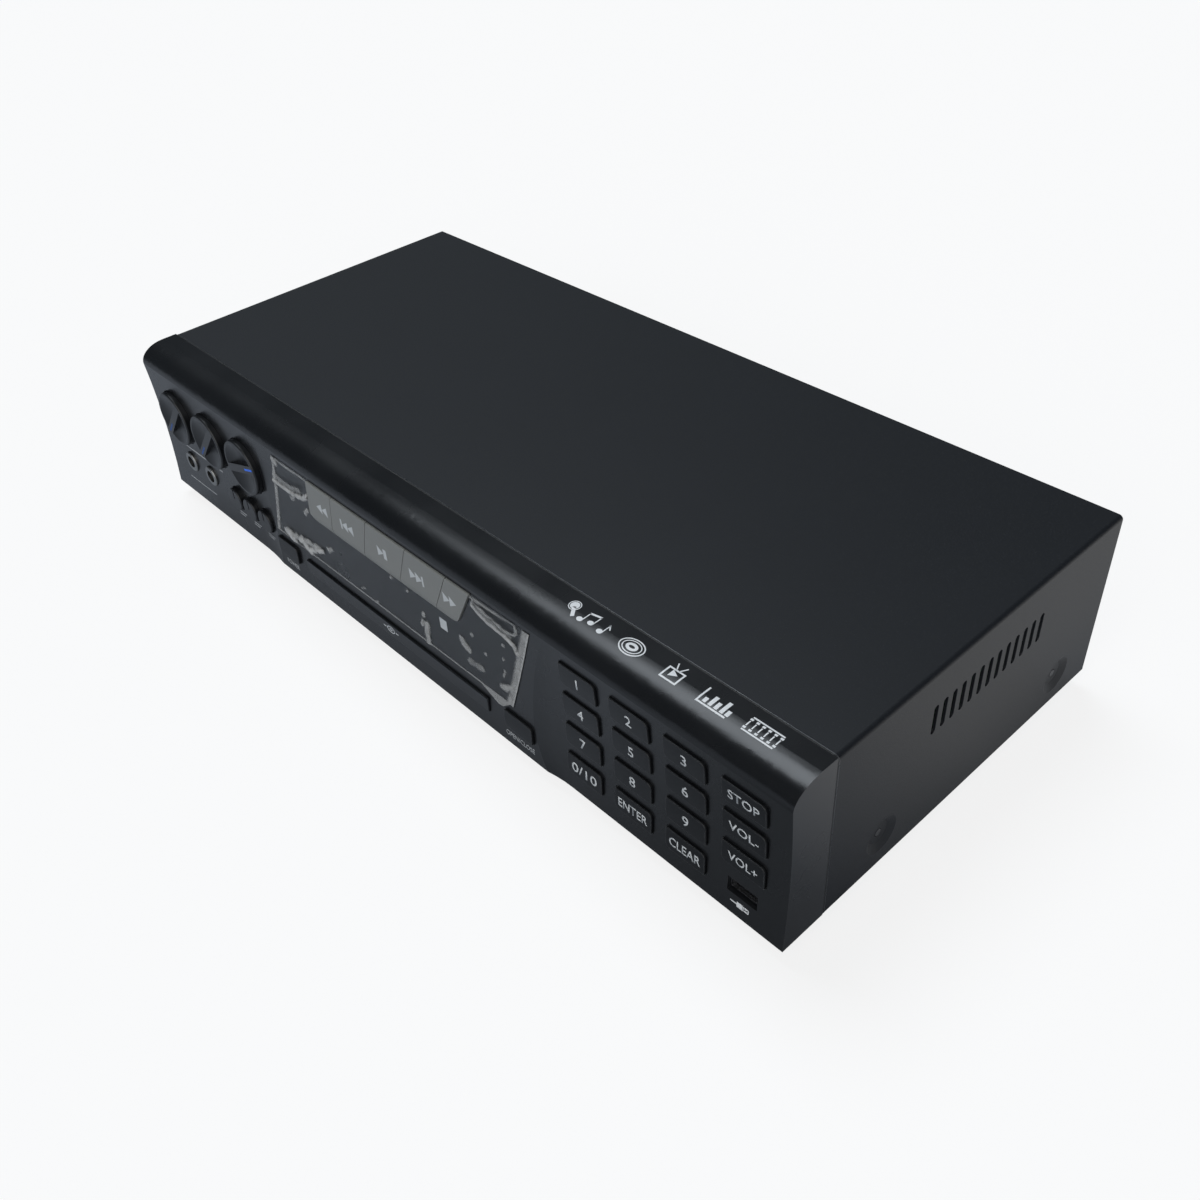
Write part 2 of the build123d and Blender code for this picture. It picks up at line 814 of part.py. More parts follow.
tray_low, tray_high = tray_floor
with BuildPart() as disc_tray:
    with BuildSketch(level(tray_low)):
        with Locations((tray_middle, sum(tray_span) / 2)):
            Rectangle(tray_wide, tray_span[1] - tray_span[0])
    extrude(amount=tray_high - tray_low)
    with BuildSketch(level(disc_well_floor)):
        with Locations((tray_middle, disc_depth)):
            Circle(disc_well_radius)
    extrude(amount=tray_high - disc_well_floor + 1, mode=Mode.SUBTRACT)
    with BuildSketch(level(disc_well_floor - hub_well_deep)):
        with Locations((tray_middle, disc_depth)):
            Circle(hub_well_radius)
    extrude(amount=2.0, mode=Mode.SUBTRACT)
    # slot that the raised turntable and pickup pass through, open to the rear
    with BuildSketch(level(tray_low - 1)):
        slot_front = disc_depth - 18.0
        with Locations((tray_middle, (slot_front + tray_span[1] + 1) / 2)):
            Rectangle(2 * slot_half, tray_span[1] + 1 - slot_front)
    extrude(amount=tray_high - tray_low + 2, mode=Mode.SUBTRACT)
    # rack along the right-hand edge
    with BuildSketch(level(rack_band[0])):
        rack_root = rack_x - tooth_root - 0.1
        tooth_pitch = pi * tooth_module
        rack_teeth = int((tray_span[1] - tray_span[0]) / tooth_pitch)
        for n in range(rack_teeth):
            tooth = gear_depth + (n - 9.5) * tooth_pitch
            Polygon(
                (rack_root, tooth - 1.0 * tooth_module),
                (rack_x + tooth_tip, tooth - 0.35 * tooth_module),
                (rack_x + tooth_tip, tooth + 0.35 * tooth_module),
                (rack_root, tooth + 1.0 * tooth_module),
                align=None,
            )
    extrude(amount=rack_band[1] - rack_band[0])
save(disc_tray.part, "disc_tray")

gear_x = rack_x + gear_radius
gear_place = (gear_x, gear_depth)
motor_place = (motor_x, motor_depth)

with BuildPart() as drive_gear:
    band_low, band_high = gear_band
    with BuildSketch(level(band_low)):
        with Locations(gear_place):
            Circle(gear_radius - tooth_root)
        for n in range(gear_teeth):
            turn = 360 * n / gear_teeth
            with Locations(Location((gear_x, gear_depth, 0), (0, 0, turn))):
                Polygon(
                    (gear_radius - tooth_root - 0.2, -1.0 * tooth_module),
                    (gear_radius + tooth_tip, -0.35 * tooth_module),
                    (gear_radius + tooth_tip, 0.35 * tooth_module),
                    (gear_radius - tooth_root - 0.2, 1.0 * tooth_module),
                    align=None,
                )
    extrude(amount=band_high - band_low)
    # belt groove under the teeth
    with BuildSketch(level(belt_band[0] - 0.3)):
        with Locations(gear_place):
            Circle(gear_pulley_radius)
    extrude(amount=band_low - belt_band[0] + 0.3)
    with BuildSketch(level(belt_band[0] - 1.0)):
        with Locations(gear_place):
            Circle(gear_pulley_radius + pulley_flange)
    extrude(amount=0.7)
    with BuildSketch(level(0)):
        with Locations(gear_place):
            Circle(gear_pin_radius + spindle_fit)
    extrude(amount=band_high + 1, mode=Mode.SUBTRACT)
save(drive_gear.part, "drive_gear")

with BuildPart() as motor_pulley:
    with BuildSketch(level(belt_band[0] - 0.3)):
        with Locations(motor_place):
            Circle(motor_pulley_radius)
    extrude(amount=belt_band[1] - belt_band[0] + 0.6)
    with BuildSketch(level(belt_band[0] - 1.0)):
        with Locations(motor_place):
            Circle(motor_pulley_radius + pulley_flange)
    extrude(amount=0.7)
    with BuildSketch(level(belt_band[1] + 0.3)):
        with Locations(motor_place):
            Circle(motor_pulley_radius + pulley_flange)
    extrude(amount=0.7)
    with BuildSketch(level(belt_band[1] + 1.0)):
        with Locations(motor_place):
            Circle(motor_shaft_radius)
    extrude(amount=6.0)
save(motor_pulley.part, "motor_pulley")

with BuildPart() as drive_belt:
    belt_low, belt_high = belt_band
    for grow, mode in ((belt_thick, Mode.ADD), (0, Mode.SUBTRACT)):
        with BuildSketch(level(belt_low)):
            with Locations(gear_place):
                Circle(gear_pulley_radius + belt_air + grow)
            with Locations(motor_place):
                Circle(motor_pulley_radius + belt_air + grow)
            make_hull()
        extrude(amount=belt_high - belt_low, mode=mode)
save(drive_belt.part, "drive_belt")

with BuildPart() as loader_motor:
    lug_top = lug_height + lug_thick
    with BuildSketch(level(lug_top)):
        with Locations(motor_place):
            Circle(motor_radius)
    extrude(amount=motor_tall)
    with BuildSketch(level(lug_top)):
        with Locations(motor_place):
            Circle(motor_neck_radius)
    extrude(amount=-lug_thick)
    with BuildSketch(level(lug_top - lug_thick - 0.5)):
        with Locations(motor_place):
            Circle(motor_shaft_radius + spindle_fit)
    extrude(amount=6.0, mode=Mode.SUBTRACT)
save(loader_motor.part, "loader_motor")

inner_half = tray_wide / 2 + running
with BuildPart() as loader_frame:
    frame_low = 1.6
    frame_floor = 3.0
    frame_long = frame_span[1] - frame_span[0]
    frame_middle = (tray_middle, sum(frame_span) / 2)
    outer_half = inner_half + frame_wall
    with BuildSketch(level(frame_low)):
        with Locations(frame_middle):
            Rectangle(2 * outer_half, frame_long)
    extrude(amount=frame_top - frame_low)
    # channel for the tray, with a ledge under each edge of it and one above
    with BuildSketch(level(tray_low - running)):
        with Locations(frame_middle):
            Rectangle(2 * inner_half, frame_long + 2)
    extrude(amount=tray_high - tray_low + 2 * running, mode=Mode.SUBTRACT)
    with BuildSketch(level(tray_high)):
        with Locations(frame_middle):
            Rectangle(2 * (inner_half - 3), frame_long + 2)
    extrude(amount=frame_top - tray_high + 1, mode=Mode.SUBTRACT)
    with BuildSketch(level(frame_floor)):
        with Locations(frame_middle):
            Rectangle(2 * (inner_half - 3), frame_long + 2)
    extrude(amount=tray_low - frame_floor, mode=Mode.SUBTRACT)
    # groove for the rack, opening for the deck, window for the gear and belt
    with BuildSketch(level(rack_band[0] - running)):
        groove_right = rack_x + tooth_tip + running
        with Locations(((tray_middle + groove_right) / 2, sum(frame_span) / 2)):
            Rectangle(groove_right - tray_middle, frame_long + 2)
    extrude(amount=rack_band[1] - rack_band[0] + 2 * running, mode=Mode.SUBTRACT)
    with BuildSketch(level(0)):
        with Locations((tray_middle, sum(deck_span) / 2)):
            Rectangle(2 * deck_half + 4, deck_span[1] - deck_span[0] + 4)
    extrude(amount=4, mode=Mode.SUBTRACT)
    with BuildSketch(level(frame_floor)):
        with Locations((tray_middle + outer_half, gear_depth + 1.5)):
            Rectangle(24.0, 30.0)
    extrude(amount=rack_band[1] + running - frame_floor, mode=Mode.SUBTRACT)
    # shelf and pin for the gear
    frame_right = tray_middle + outer_half - 1
    with BuildSketch(level(frame_low)):
        with Locations(((frame_right + gear_x + 6) / 2, gear_depth)):
            Rectangle(gear_x + 6 - frame_right, 24.0)
    extrude(amount=frame_floor - frame_low)
    with BuildSketch(level(frame_low)):
        with Locations(gear_place):
            Circle(gear_pin_radius)
    extrude(amount=band_high - frame_low)
    # lug for the motor
    with BuildSketch(level(lug_height)):
        with Locations(((frame_right + motor_x) / 2, motor_depth)):
            Rectangle(motor_x - frame_right, 16.0)
        with Locations(motor_place):
            Circle(motor_radius)
            Circle(motor_neck_radius + 0.1, mode=Mode.SUBTRACT)
    extrude(amount=lug_thick)
    # bridge that carries the clamp
    with BuildSketch(level(frame_top)):
        with Locations((tray_middle, disc_depth)):
            Rectangle(2 * outer_half, 44.0)
            Circle(15.0, mode=Mode.SUBTRACT)
    extrude(amount=2.0)
    # feet that stand on the chassis
    with BuildSketch(level(sheet)):
        with Locations(frame_middle):
            with GridLocations(2 * outer_half - 8, frame_long - 10, 2, 2):
                Circle(3.5)
    extrude(amount=frame_low - sheet)
save(loader_frame.part, "loader_frame")

with BuildPart() as loader_deck:
    deck_low, deck_high = deck_floor
    deck_middle = (tray_middle, sum(deck_span) / 2)
    with BuildSketch(level(deck_low)):
        with Locations(deck_middle):
            Rectangle(2 * deck_half, deck_span[1] - deck_span[0])
    extrude(amount=deck_high - deck_low)
    # motor can under the turntable and the blocks that hold the rods
    with BuildSketch(level(deck_high)):
        with Locations((tray_middle, disc_depth)):
            Circle(11.5)
        with Locations([(tray_middle, rod_span[0] + 1.5), (tray_middle, rod_span[1] - 1.5)]):
            Rectangle(2 * deck_half, 3.0)
    extrude(amount=2.4)
    with BuildSketch(level(deck_high)):
        for end in (rod_span[0] + 1.5, rod_span[1] - 1.5):
            with Locations([(tray_middle + x, end) for x in (-rod_offset, rod_offset)]):
                Rectangle(6.5, 3.0)
    extrude(amount=rod_height + 2.6 - deck_high)
    with BuildSketch(facing(rod_span[0] - 1)):
        with Locations([(tray_middle + x, rod_height) for x in (-rod_offset, rod_offset)]):
            Circle(rod_radius)
    extrude(amount=-(rod_span[1] - rod_span[0] + 2), mode=Mode.SUBTRACT)
    # spindle bearing
    with BuildSketch(level(deck_low)):
        with Locations((tray_middle, disc_depth)):
            Circle(1.55)
    extrude(amount=6, mode=Mode.SUBTRACT)
save(loader_deck.part, "loader_deck")

with BuildPart() as pickup_rods:
    with BuildSketch(facing(rod_span[0])):
        with Locations([(tray_middle + x, rod_height) for x in (-rod_offset, rod_offset)]):
            Circle(rod_radius)
    extrude(amount=-(rod_span[1] - rod_span[0]))
save(pickup_rods.part, "pickup_rods")

with BuildPart() as turntable:
    with BuildSketch(level(deck_high + 2.7)):
        with Locations((tray_middle, disc_depth)):
            Circle(14.5)
    extrude(amount=1.6)
    with BuildSketch(level(deck_high + 4.3)):
        with Locations((tray_middle, disc_depth)):
            Circle(7.4)
    extrude(amount=1.2, taper=20)
    with BuildSketch(level(deck_low + 0.4)):
        with Locations((tray_middle, disc_depth)):
            Circle(1.5)
    extrude(amount=4.4)
save(turntable.part, "turntable")

with BuildPart() as pickup:
    pickup_low = deck_high + 0.4
    with BuildSketch(level(pickup_low)):
        with Locations((tray_middle, pickup_depth)):
            Rectangle(2 * rod_offset + 6.0, 24.0)
            with GridLocations(2 * rod_offset + 6.0, 0, 2, 1):
                Rectangle(3.0, 8.0)
    extrude(amount=4.6)
    with BuildSketch(level(pickup_low + 4.6)):
        with Locations((tray_middle, pickup_depth - 4)):
            Circle(4.0)
    extrude(amount=0.5)
    with BuildSketch(facing(rod_span[0])):
        with Locations([(tray_middle + x, rod_height) for x in (-rod_offset, rod_offset)]):
            Circle(rod_radius + 0.05)
    extrude(amount=-(rod_span[1] - rod_span[0]), mode=Mode.SUBTRACT)
save(pickup.part, "pickup")

with BuildPart() as disc_clamp:
    with BuildSketch(level(frame_top + 2.3)):
        with Locations((tray_middle, disc_depth)):
            Circle(18.0)
    extrude(amount=1.4)
    with BuildSketch(level(frame_top - 5)):
        with Locations((tray_middle, disc_depth)):
            Circle(14.6)
    extrude(amount=7.3)
    with BuildSketch(level(frame_top - 6)):
        with Locations((tray_middle, disc_depth)):
            Circle(16.0)
    extrude(amount=1.0)
save(disc_clamp.part, "disc_clamp")


# ---- Chassis, boards on it, rear panel and its sockets

side_screws = [(depth, height) for depth, height in dimple_places]
foot_x, foot_front, foot_rear = foot_places
feet_places = [(x, depth) for x in (-foot_x, foot_x) for depth in (foot_front, foot_rear)]
rear_screw_places = [(x, rear_screw_height) for x in rear_screws]


def board_corners(box, inset=6.0):
    left, right, near, far = box
    return [(x, d) for x in (left + inset, right - inset) for d in (near + inset, far - inset)]


def box_sketch(box):
    left, right, near, far = box
    with Locations(((left + right) / 2, (near + far) / 2)):
        Rectangle(right - left, far - near)


def on_board(board, box):
    left, right, near, far = box
    return board[0] + left, board[0] + right, board[2] + near, board[2] + far


with BuildPart() as base_chassis:
    # folded tray: floor, side flanges, low front flange and rear flange
    with BuildSketch(level(0)):
        box_sketch((-chassis_half, chassis_half, front_flange_depth, rear_depth))
    extrude(amount=flange_tall)
    with BuildSketch(level(sheet)):
        box_sketch(
            (
                sheet - chassis_half,
                chassis_half - sheet,
                front_flange_depth + sheet,
                rear_depth - sheet,
            )
        )
    extrude(amount=flange_tall, mode=Mode.SUBTRACT)
    with BuildSketch(level(front_flange_tall)):
        box_sketch((-chassis_half - 1, chassis_half + 1, 20, front_flange_depth + sheet))
    extrude(amount=flange_tall, mode=Mode.SUBTRACT)
    with BuildSketch(level(rear_flange_tall)):
        box_sketch((-chassis_half - 1, chassis_half + 1, rear_depth - sheet, rear_depth + 1))
    extrude(amount=flange_tall, mode=Mode.SUBTRACT)
    # standoffs for the boards
    with BuildSketch(level(sheet)):
        with Locations(board_corners(main_board_box) + board_corners(power_board_box)):
            Circle(standoff_radius)
    extrude(amount=board_height - sheet)
    # holes for feet, bosses, cover and rear panel
    with BuildSketch(level(-1)):
        with Locations(feet_places):
            Circle(3.05)
    extrude(amount=3, mode=Mode.SUBTRACT)
    with BuildSketch(facing(front_flange_depth - 1)):
        with Locations(boss_corners):
            Circle(screw_radius + 0.05)
    extrude(amount=-3, mode=Mode.SUBTRACT)
    with BuildSketch(facing(rear_depth + 1)):
        with Locations(rear_screw_places):
            Circle(screw_radius + 0.05)
    extrude(amount=3, mode=Mode.SUBTRACT)
    with BuildSketch(side(-width / 2)):
        with Locations(side_screws):
            Circle(screw_radius + 0.05)
    extrude(amount=width, mode=Mode.SUBTRACT)
save(base_chassis.part, "base_chassis")

with BuildPart() as feet:
    with BuildSketch(level(-foot_height)):
        with Locations(feet_places):
            Circle(foot_radius - 1.5)
    extrude(amount=2.0)
    with BuildSketch(level(2.0 - foot_height)):
        with Locations(feet_places):
            Circle(foot_radius)
    extrude(amount=foot_height - 2.0)
    with BuildSketch(level(0)):
        with Locations(feet_places):
            Circle(3.0)
    extrude(amount=3.0)
save(feet.part, "feet")

with BuildPart() as main_board:
    with BuildSketch(level(board_height)):
        box_sketch(main_board_box)
    extrude(amount=board_thick)
    with BuildSketch(level(board_height + board_thick)):
        for box in main_chips:
            box_sketch(on_board(main_board_box, box))
    extrude(amount=chip_tall)
    with BuildSketch(level(board_height + board_thick)):
        for box in main_connectors:
            box_sketch(on_board(main_board_box, box))
    extrude(amount=connector_tall)
save(main_board.part, "main_board")

with BuildPart() as power_board:
    with BuildSketch(level(board_height)):
        box_sketch(power_board_box)
    extrude(amount=board_thick)
    with BuildSketch(level(board_height + board_thick)):
        with Locations((power_board_box[0], power_board_box[2])):
            with Locations(capacitor_places):
                Circle(capacitor_radius)
    extrude(amount=capacitor_tall)
    # heat sink with four fins
    with BuildSketch(level(board_height + board_thick)):
        box_sketch(on_board(power_board_box, heat_sink))
        for n in range(4):
            left, right, near, far = on_board(power_board_box, heat_sink_fin)
            box_sketch((left, right, near + n * heat_sink_pitch, far + n * heat_sink_pitch))
    extrude(amount=heat_sink_tall)
save(power_board.part, "power_board")

with BuildPart() as transformer:
    left, right, near, far = transformer_box
    with BuildSketch(level(sheet)):
        box_sketch((left, right, near + coil_reach, far - coil_reach))
    extrude(amount=core_tall)
    with BuildSketch(level(sheet + coil_band[0])):
        box_sketch((left + coil_reach, right - coil_reach, near, far))
    extrude(amount=coil_band[1] - coil_band[0])
    with BuildSketch(level(sheet)):
        box_sketch((left - core_flange, right + core_flange, near + 14, far - 14))
    extrude(amount=1.6)
save(transformer.part, "transformer")

rca_places = [(x, height) for x in rca_columns for height in rca_rows]
with BuildPart() as rear_panel:
    with BuildSketch(facing(rear_depth)):
        with Locations((0, body_height / 2 - 0.6)):
            Rectangle(width - 2 * sheet - 0.6, body_height - 2 * sheet - 0.4)
        with Locations(rca_places):
            Circle(rca_radius + rca_collar + 0.15, mode=Mode.SUBTRACT)
        with Locations(inlet_place):
            Rectangle(*inlet_opening, mode=Mode.SUBTRACT)
        with Locations(rear_screw_places):
            Circle(screw_radius + 0.2, mode=Mode.SUBTRACT)
        with Locations(rear_vent_place):
            with GridLocations(rear_vent_pitch, 0, rear_vent_count, 1):
                SlotOverall(*reversed(rear_vent_size), rotation=90, mode=Mode.SUBTRACT)
    extrude(amount=-sheet)
save(rear_panel.part, "rear_panel")

with BuildPart() as av_sockets:
    # block on the board, collars that fill the panel's holes, and the sleeves
    board_top = board_height + board_thick
    block_top = rca_rows[-1] + rca_block
    block_wide = rca_columns[-1] - rca_columns[0] + 2 * rca_block
    with BuildSketch(facing(rear_depth - 10.5)):
        with Locations((sum(rca_columns) / 4, (board_top + block_top) / 2)):
            Rectangle(block_wide, block_top - board_top)
    extrude(amount=-9.2)
    with BuildSketch(facing(rear_depth - 2)):
        with Locations(rca_places):
            Circle(rca_radius + rca_collar)
    extrude(amount=-2 - sheet)
    with BuildSketch(facing(rear_depth)):
        with Locations(rca_places):
            Circle(rca_radius)
    extrude(amount=rear_depth - body_depth - socket_reach)
    with BuildSketch(facing(body_depth + socket_reach + 1)):
        with Locations(rca_places):
            Circle(rca_bore_radius)
    extrude(amount=14.0, mode=Mode.SUBTRACT)
save(av_sockets.part, "av_sockets")

with BuildPart() as mains_inlet:
    with BuildSketch(facing(rear_depth - 0.2)):
        with Locations(inlet_place):
            Rectangle(*inlet_flange)
    extrude(amount=2.0)
    with BuildSketch(facing(rear_depth - 2)):
        with Locations(inlet_place):
            Rectangle(inlet_opening[0] - 0.4, inlet_opening[1] - 0.4)
    extrude(amount=-5.0)
    with BuildSketch(facing(rear_depth - 2)):
        with Locations(inlet_place):
            Rectangle(inlet_opening[0] - 3, inlet_opening[1] - 1)
    extrude(amount=12.0)
    # pocket for a figure-eight connector, and its two pins
    with BuildSketch(facing(rear_depth + 4)):
        with Locations(inlet_place):
            SlotOverall(*inlet_pocket)
    extrude(amount=15.0, mode=Mode.SUBTRACT)
    with BuildSketch(facing(rear_depth - 12)):
        with Locations(inlet_place):
            with GridLocations(inlet_pin_pitch, 0, 2, 1):
                Circle(inlet_pin_radius)
    extrude(amount=-13.0)
save(mains_inlet.part, "mains_inlet")


# ---- Cover: folded sheet with vents and conical dimples for its screws

with BuildPart() as top_cover:
    cover_front = fascia_depth + seam
    with BuildSketch(facing(cover_front)):
        with Locations((0, (body_height + 0.5) / 2)):
            Rectangle(width, body_height - 0.5)
        fillet(vertices().group_by(Axis.Y)[-1], cover_bend)
    extrude(amount=cover_front - body_depth)
    with BuildSketch(facing(cover_front - 1)):
        with Locations((0, (body_height - sheet) / 2 - 1)):
            Rectangle(width - 2 * sheet, body_height - sheet + 2)
        fillet(vertices().group_by(Axis.Y)[-1], cover_bend - sheet)
    extrude(amount=cover_front - body_depth - 2, mode=Mode.SUBTRACT)
    with BuildSketch(side(-width / 2 - 1)):
        vent_middle = vent_first + vent_pitch * (vent_count - 1) / 2
        with Locations((vent_middle, vent_height)):
            with GridLocations(vent_pitch, 0, vent_count, 1):
                SlotOverall(vent_size[1], vent_size[0], rotation=90)
    extrude(amount=width + 2, mode=Mode.SUBTRACT)
    dimple_floor = width / 2 - dimple_deep
    for hand in (-1, 1):
        for place in dimple_places:
            with BuildSketch(side(hand * (width / 2 - sheet / 2))):
                with Locations(place):
                    Circle(dimple_radius + 0.5)
            with BuildSketch(side(hand * (dimple_floor - sheet))):
                with Locations(place):
                    Circle(dimple_floor_radius + 1.2)
            loft()
            with BuildSketch(side(hand * width / 2)):
                with Locations(place):
                    Circle(dimple_radius)
            with BuildSketch(side(hand * dimple_floor)):
                with Locations(place):
                    Circle(dimple_floor_radius)
            loft(mode=Mode.SUBTRACT)
            with BuildSketch(side(hand * width / 2)):
                with Locations(place):
                    Circle(screw_radius + 0.2)
            extrude(amount=-6 * hand, mode=Mode.SUBTRACT)
save(top_cover.part, "top_cover")

with BuildPart() as screws:
    for plane, places, outward in (
        (side(dimple_floor), side_screws, 1),
        (side(-dimple_floor), side_screws, -1),
        (facing(rear_depth + sheet), rear_screw_places, -1),
        (facing(front_flange_depth + sheet), boss_corners, -1),
    ):
        with BuildSketch(plane):
            with Locations(places):
                Circle(screw_head_radius)
        extrude(amount=outward * screw_head_thick)
        with BuildSketch(plane):
            with Locations(places):
                Circle(screw_radius)
        extrude(amount=-outward * screw_long)
save(screws.part, "screws")
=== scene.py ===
# Karaoke machine with a disc tray: finishes, prints, protective film, screws and studio.
import math
import bpy
import bmesh
from mathutils import Matrix, Vector, noise
from mathutils.bvhtree import BVHTree


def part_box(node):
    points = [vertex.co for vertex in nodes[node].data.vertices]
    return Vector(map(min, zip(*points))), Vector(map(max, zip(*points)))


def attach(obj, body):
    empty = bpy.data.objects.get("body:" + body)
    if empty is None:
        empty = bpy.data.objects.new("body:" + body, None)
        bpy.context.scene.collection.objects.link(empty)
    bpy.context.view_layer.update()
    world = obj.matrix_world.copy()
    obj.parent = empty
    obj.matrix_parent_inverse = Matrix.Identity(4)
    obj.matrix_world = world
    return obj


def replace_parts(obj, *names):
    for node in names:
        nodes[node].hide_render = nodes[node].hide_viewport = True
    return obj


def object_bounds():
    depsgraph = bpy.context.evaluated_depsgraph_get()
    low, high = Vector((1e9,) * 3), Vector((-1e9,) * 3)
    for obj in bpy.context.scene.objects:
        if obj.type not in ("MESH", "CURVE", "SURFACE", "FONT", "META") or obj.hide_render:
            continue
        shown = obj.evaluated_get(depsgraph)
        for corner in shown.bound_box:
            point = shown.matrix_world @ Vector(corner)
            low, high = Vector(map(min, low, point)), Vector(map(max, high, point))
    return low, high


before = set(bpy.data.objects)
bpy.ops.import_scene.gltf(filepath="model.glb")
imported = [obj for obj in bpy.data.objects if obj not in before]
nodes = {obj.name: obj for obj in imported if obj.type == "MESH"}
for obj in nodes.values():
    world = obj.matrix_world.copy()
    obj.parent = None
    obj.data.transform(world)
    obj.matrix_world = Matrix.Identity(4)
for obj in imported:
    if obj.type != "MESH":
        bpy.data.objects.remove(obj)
bpy.context.view_layer.update()
cadLow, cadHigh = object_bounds()
print("frame loaded with", len(nodes), "nodes")

mm = 0.001
# the front crease of the fascia and the underside of the body, in the frame's own millimetres
machine = {"frontY": -99.85, "bodyZ": 7.0}


# a place by its height above the body's underside and its depth behind the front crease
def spot(x, height, depth):
    return Vector((x, machine["frontY"] + depth, machine["bodyZ"] + height)) * mm


# shader helpers

noiseSpan = (0.3, 0.7)
wavePeriod = 0.314  # of a wave texture at scale 1, in metres


def startFinish(name):
    finish = bpy.data.materials.new(name)
    finish.use_nodes = True
    tree = finish.node_tree
    shader = tree.nodes["Principled BSDF"]
    place = tree.nodes.new("ShaderNodeTexCoord").outputs["Object"]
    return finish, tree, shader, place


# noise whose spots are about size metres across
def cloudNoise(tree, place, size, detail=3.0):
    texture = tree.nodes.new("ShaderNodeTexNoise")
    texture.inputs["Scale"].default_value = 1 / size
    texture.inputs["Detail"].default_value = detail
    tree.links.new(place, texture.inputs["Vector"])
    return texture.outputs["Fac"]


def stretchPlace(tree, place, stretch, turn=(0, 0, 0)):
    mapping = tree.nodes.new("ShaderNodeMapping")
    mapping.inputs["Scale"].default_value = stretch
    mapping.inputs["Rotation"].default_value = turn
    tree.links.new(place, mapping.inputs["Vector"])
    return mapping.outputs["Vector"]


# value between low and high becomes a value between start and end
def spread(tree, value, low, high, start, end):
    mapRange = tree.nodes.new("ShaderNodeMapRange")
    mapRange.inputs["From Min"].default_value = low
    mapRange.inputs["From Max"].default_value = high
    mapRange.inputs["To Min"].default_value = start
    mapRange.inputs["To Max"].default_value = end
    tree.links.new(value, mapRange.inputs["Value"])
    return mapRange.outputs["Result"]


def scaled(tree, value, factor):
    maths = tree.nodes.new("ShaderNodeMath")
    maths.operation = "MULTIPLY"
    tree.links.new(value, maths.inputs[0])
    if isinstance(factor, bpy.types.NodeSocket):
        tree.links.new(factor, maths.inputs[1])
    else:
        maths.inputs[1].default_value = factor
    return maths.outputs[0]


def mixColours(tree, share, first, second):
    mix = tree.nodes.new("ShaderNodeMix")
    mix.data_type = "RGBA"
    for socket, colour in ((mix.inputs[6], first), (mix.inputs[7], second)):  # the node's colour sockets
        if isinstance(colour, bpy.types.NodeSocket):
            tree.links.new(colour, socket)
        else:
            socket.default_value = (*colour, 1)
    tree.links.new(share, mix.inputs[0])
    return mix.outputs[2]


def paint(tree, shader, colour):
    tree.links.new(colour, shader.inputs["Base Color"])


# most of a noise lies in noiseSpan, which is led over the look's range of roughness
def roughen(tree, shader, value, look):
    rough = spread(tree, value, *noiseSpan, *look["rough"])
    tree.links.new(rough, shader.inputs["Roughness"])


def bumpFrom(tree, shader, height, depth, strength=1.0, under=None):
    bump = tree.nodes.new("ShaderNodeBump")
    bump.inputs["Distance"].default_value = depth
    bump.inputs["Strength"].default_value = strength
    tree.links.new(height, bump.inputs["Height"])
    if under:
        tree.links.new(under, bump.inputs["Normal"])
    tree.links.new(bump.outputs["Normal"], shader.inputs["Normal"])
    return bump.outputs["Normal"]


# share along edges tighter than reach, 0 on open faces; the lighter colour laid there is wear, and on the
# keys also a painted highlight
def edgeRub(tree, reach, share):
    bevel = tree.nodes.new("ShaderNodeBevel")
    bevel.samples = 4
    bevel.inputs["Radius"].default_value = reach
    geometry = tree.nodes.new("ShaderNodeNewGeometry")
    dot = tree.nodes.new("ShaderNodeVectorMath")
    dot.operation = "DOT_PRODUCT"
    tree.links.new(bevel.outputs["Normal"], dot.inputs[0])
    tree.links.new(geometry.outputs["Normal"], dot.inputs[1])
    return spread(tree, dot.outputs["Value"], 0.995, 0.8, 0, share)


# finishes

# injection-moulded plastic with a fine grain, cloudy gloss and lighter edges, which are wear and, on the
# keys, a painted highlight
def mouldedPlastic(name, look):
    finish, tree, shader, place = startFinish(name)
    clouds = cloudNoise(tree, place, look["cloud"])
    colour = mixColours(tree, clouds, look["colour"], look["faded"])
    # lighter edges: wear, and where the look makes them bright, a painted highlight
    wornAndLitEdge = edgeRub(tree, look["edge"], look["wearAndHighlightShare"])
    colour = mixColours(tree, wornAndLitEdge, colour, look["wornAndLitEdge"])
    paint(tree, shader, colour)
    grain = cloudNoise(tree, place, look["grain"], 4)
    roughen(tree, shader, clouds, look)
    bumpFrom(tree, shader, grain, look["grainDepth"], look["grainStrength"])
    shader.inputs["Specular IOR Level"].default_value = look["gloss"]
    return finish


# powder coat: orange-peel waves under a fine sparkle of grains
def powderCoat(name, look):
    finish, tree, shader, place = startFinish(name)
    clouds = cloudNoise(tree, place, look["cloud"])
    grain = cloudNoise(tree, place, look["grain"], 2)
    colour = mixColours(tree, clouds, look["colour"], look["faded"])
    sparkle = spread(tree, grain, 0.60, 0.74, 0, look["sparkle"])
    colour = mixColours(tree, sparkle, colour, look["bright"])
    colour = mixColours(tree, edgeRub(tree, look["edge"], look["wearAndHighlightShare"]), colour, look["wornAndLitEdge"])
    paint(tree, shader, colour)
    roughen(tree, shader, grain, look)
    peel = cloudNoise(tree, place, look["peel"], 1)
    under = bumpFrom(tree, shader, peel, look["peelDepth"])
    bumpFrom(tree, shader, grain, look["grainDepth"], look["grainStrength"], under)
    shader.inputs["Specular IOR Level"].default_value = look["gloss"]
    return finish


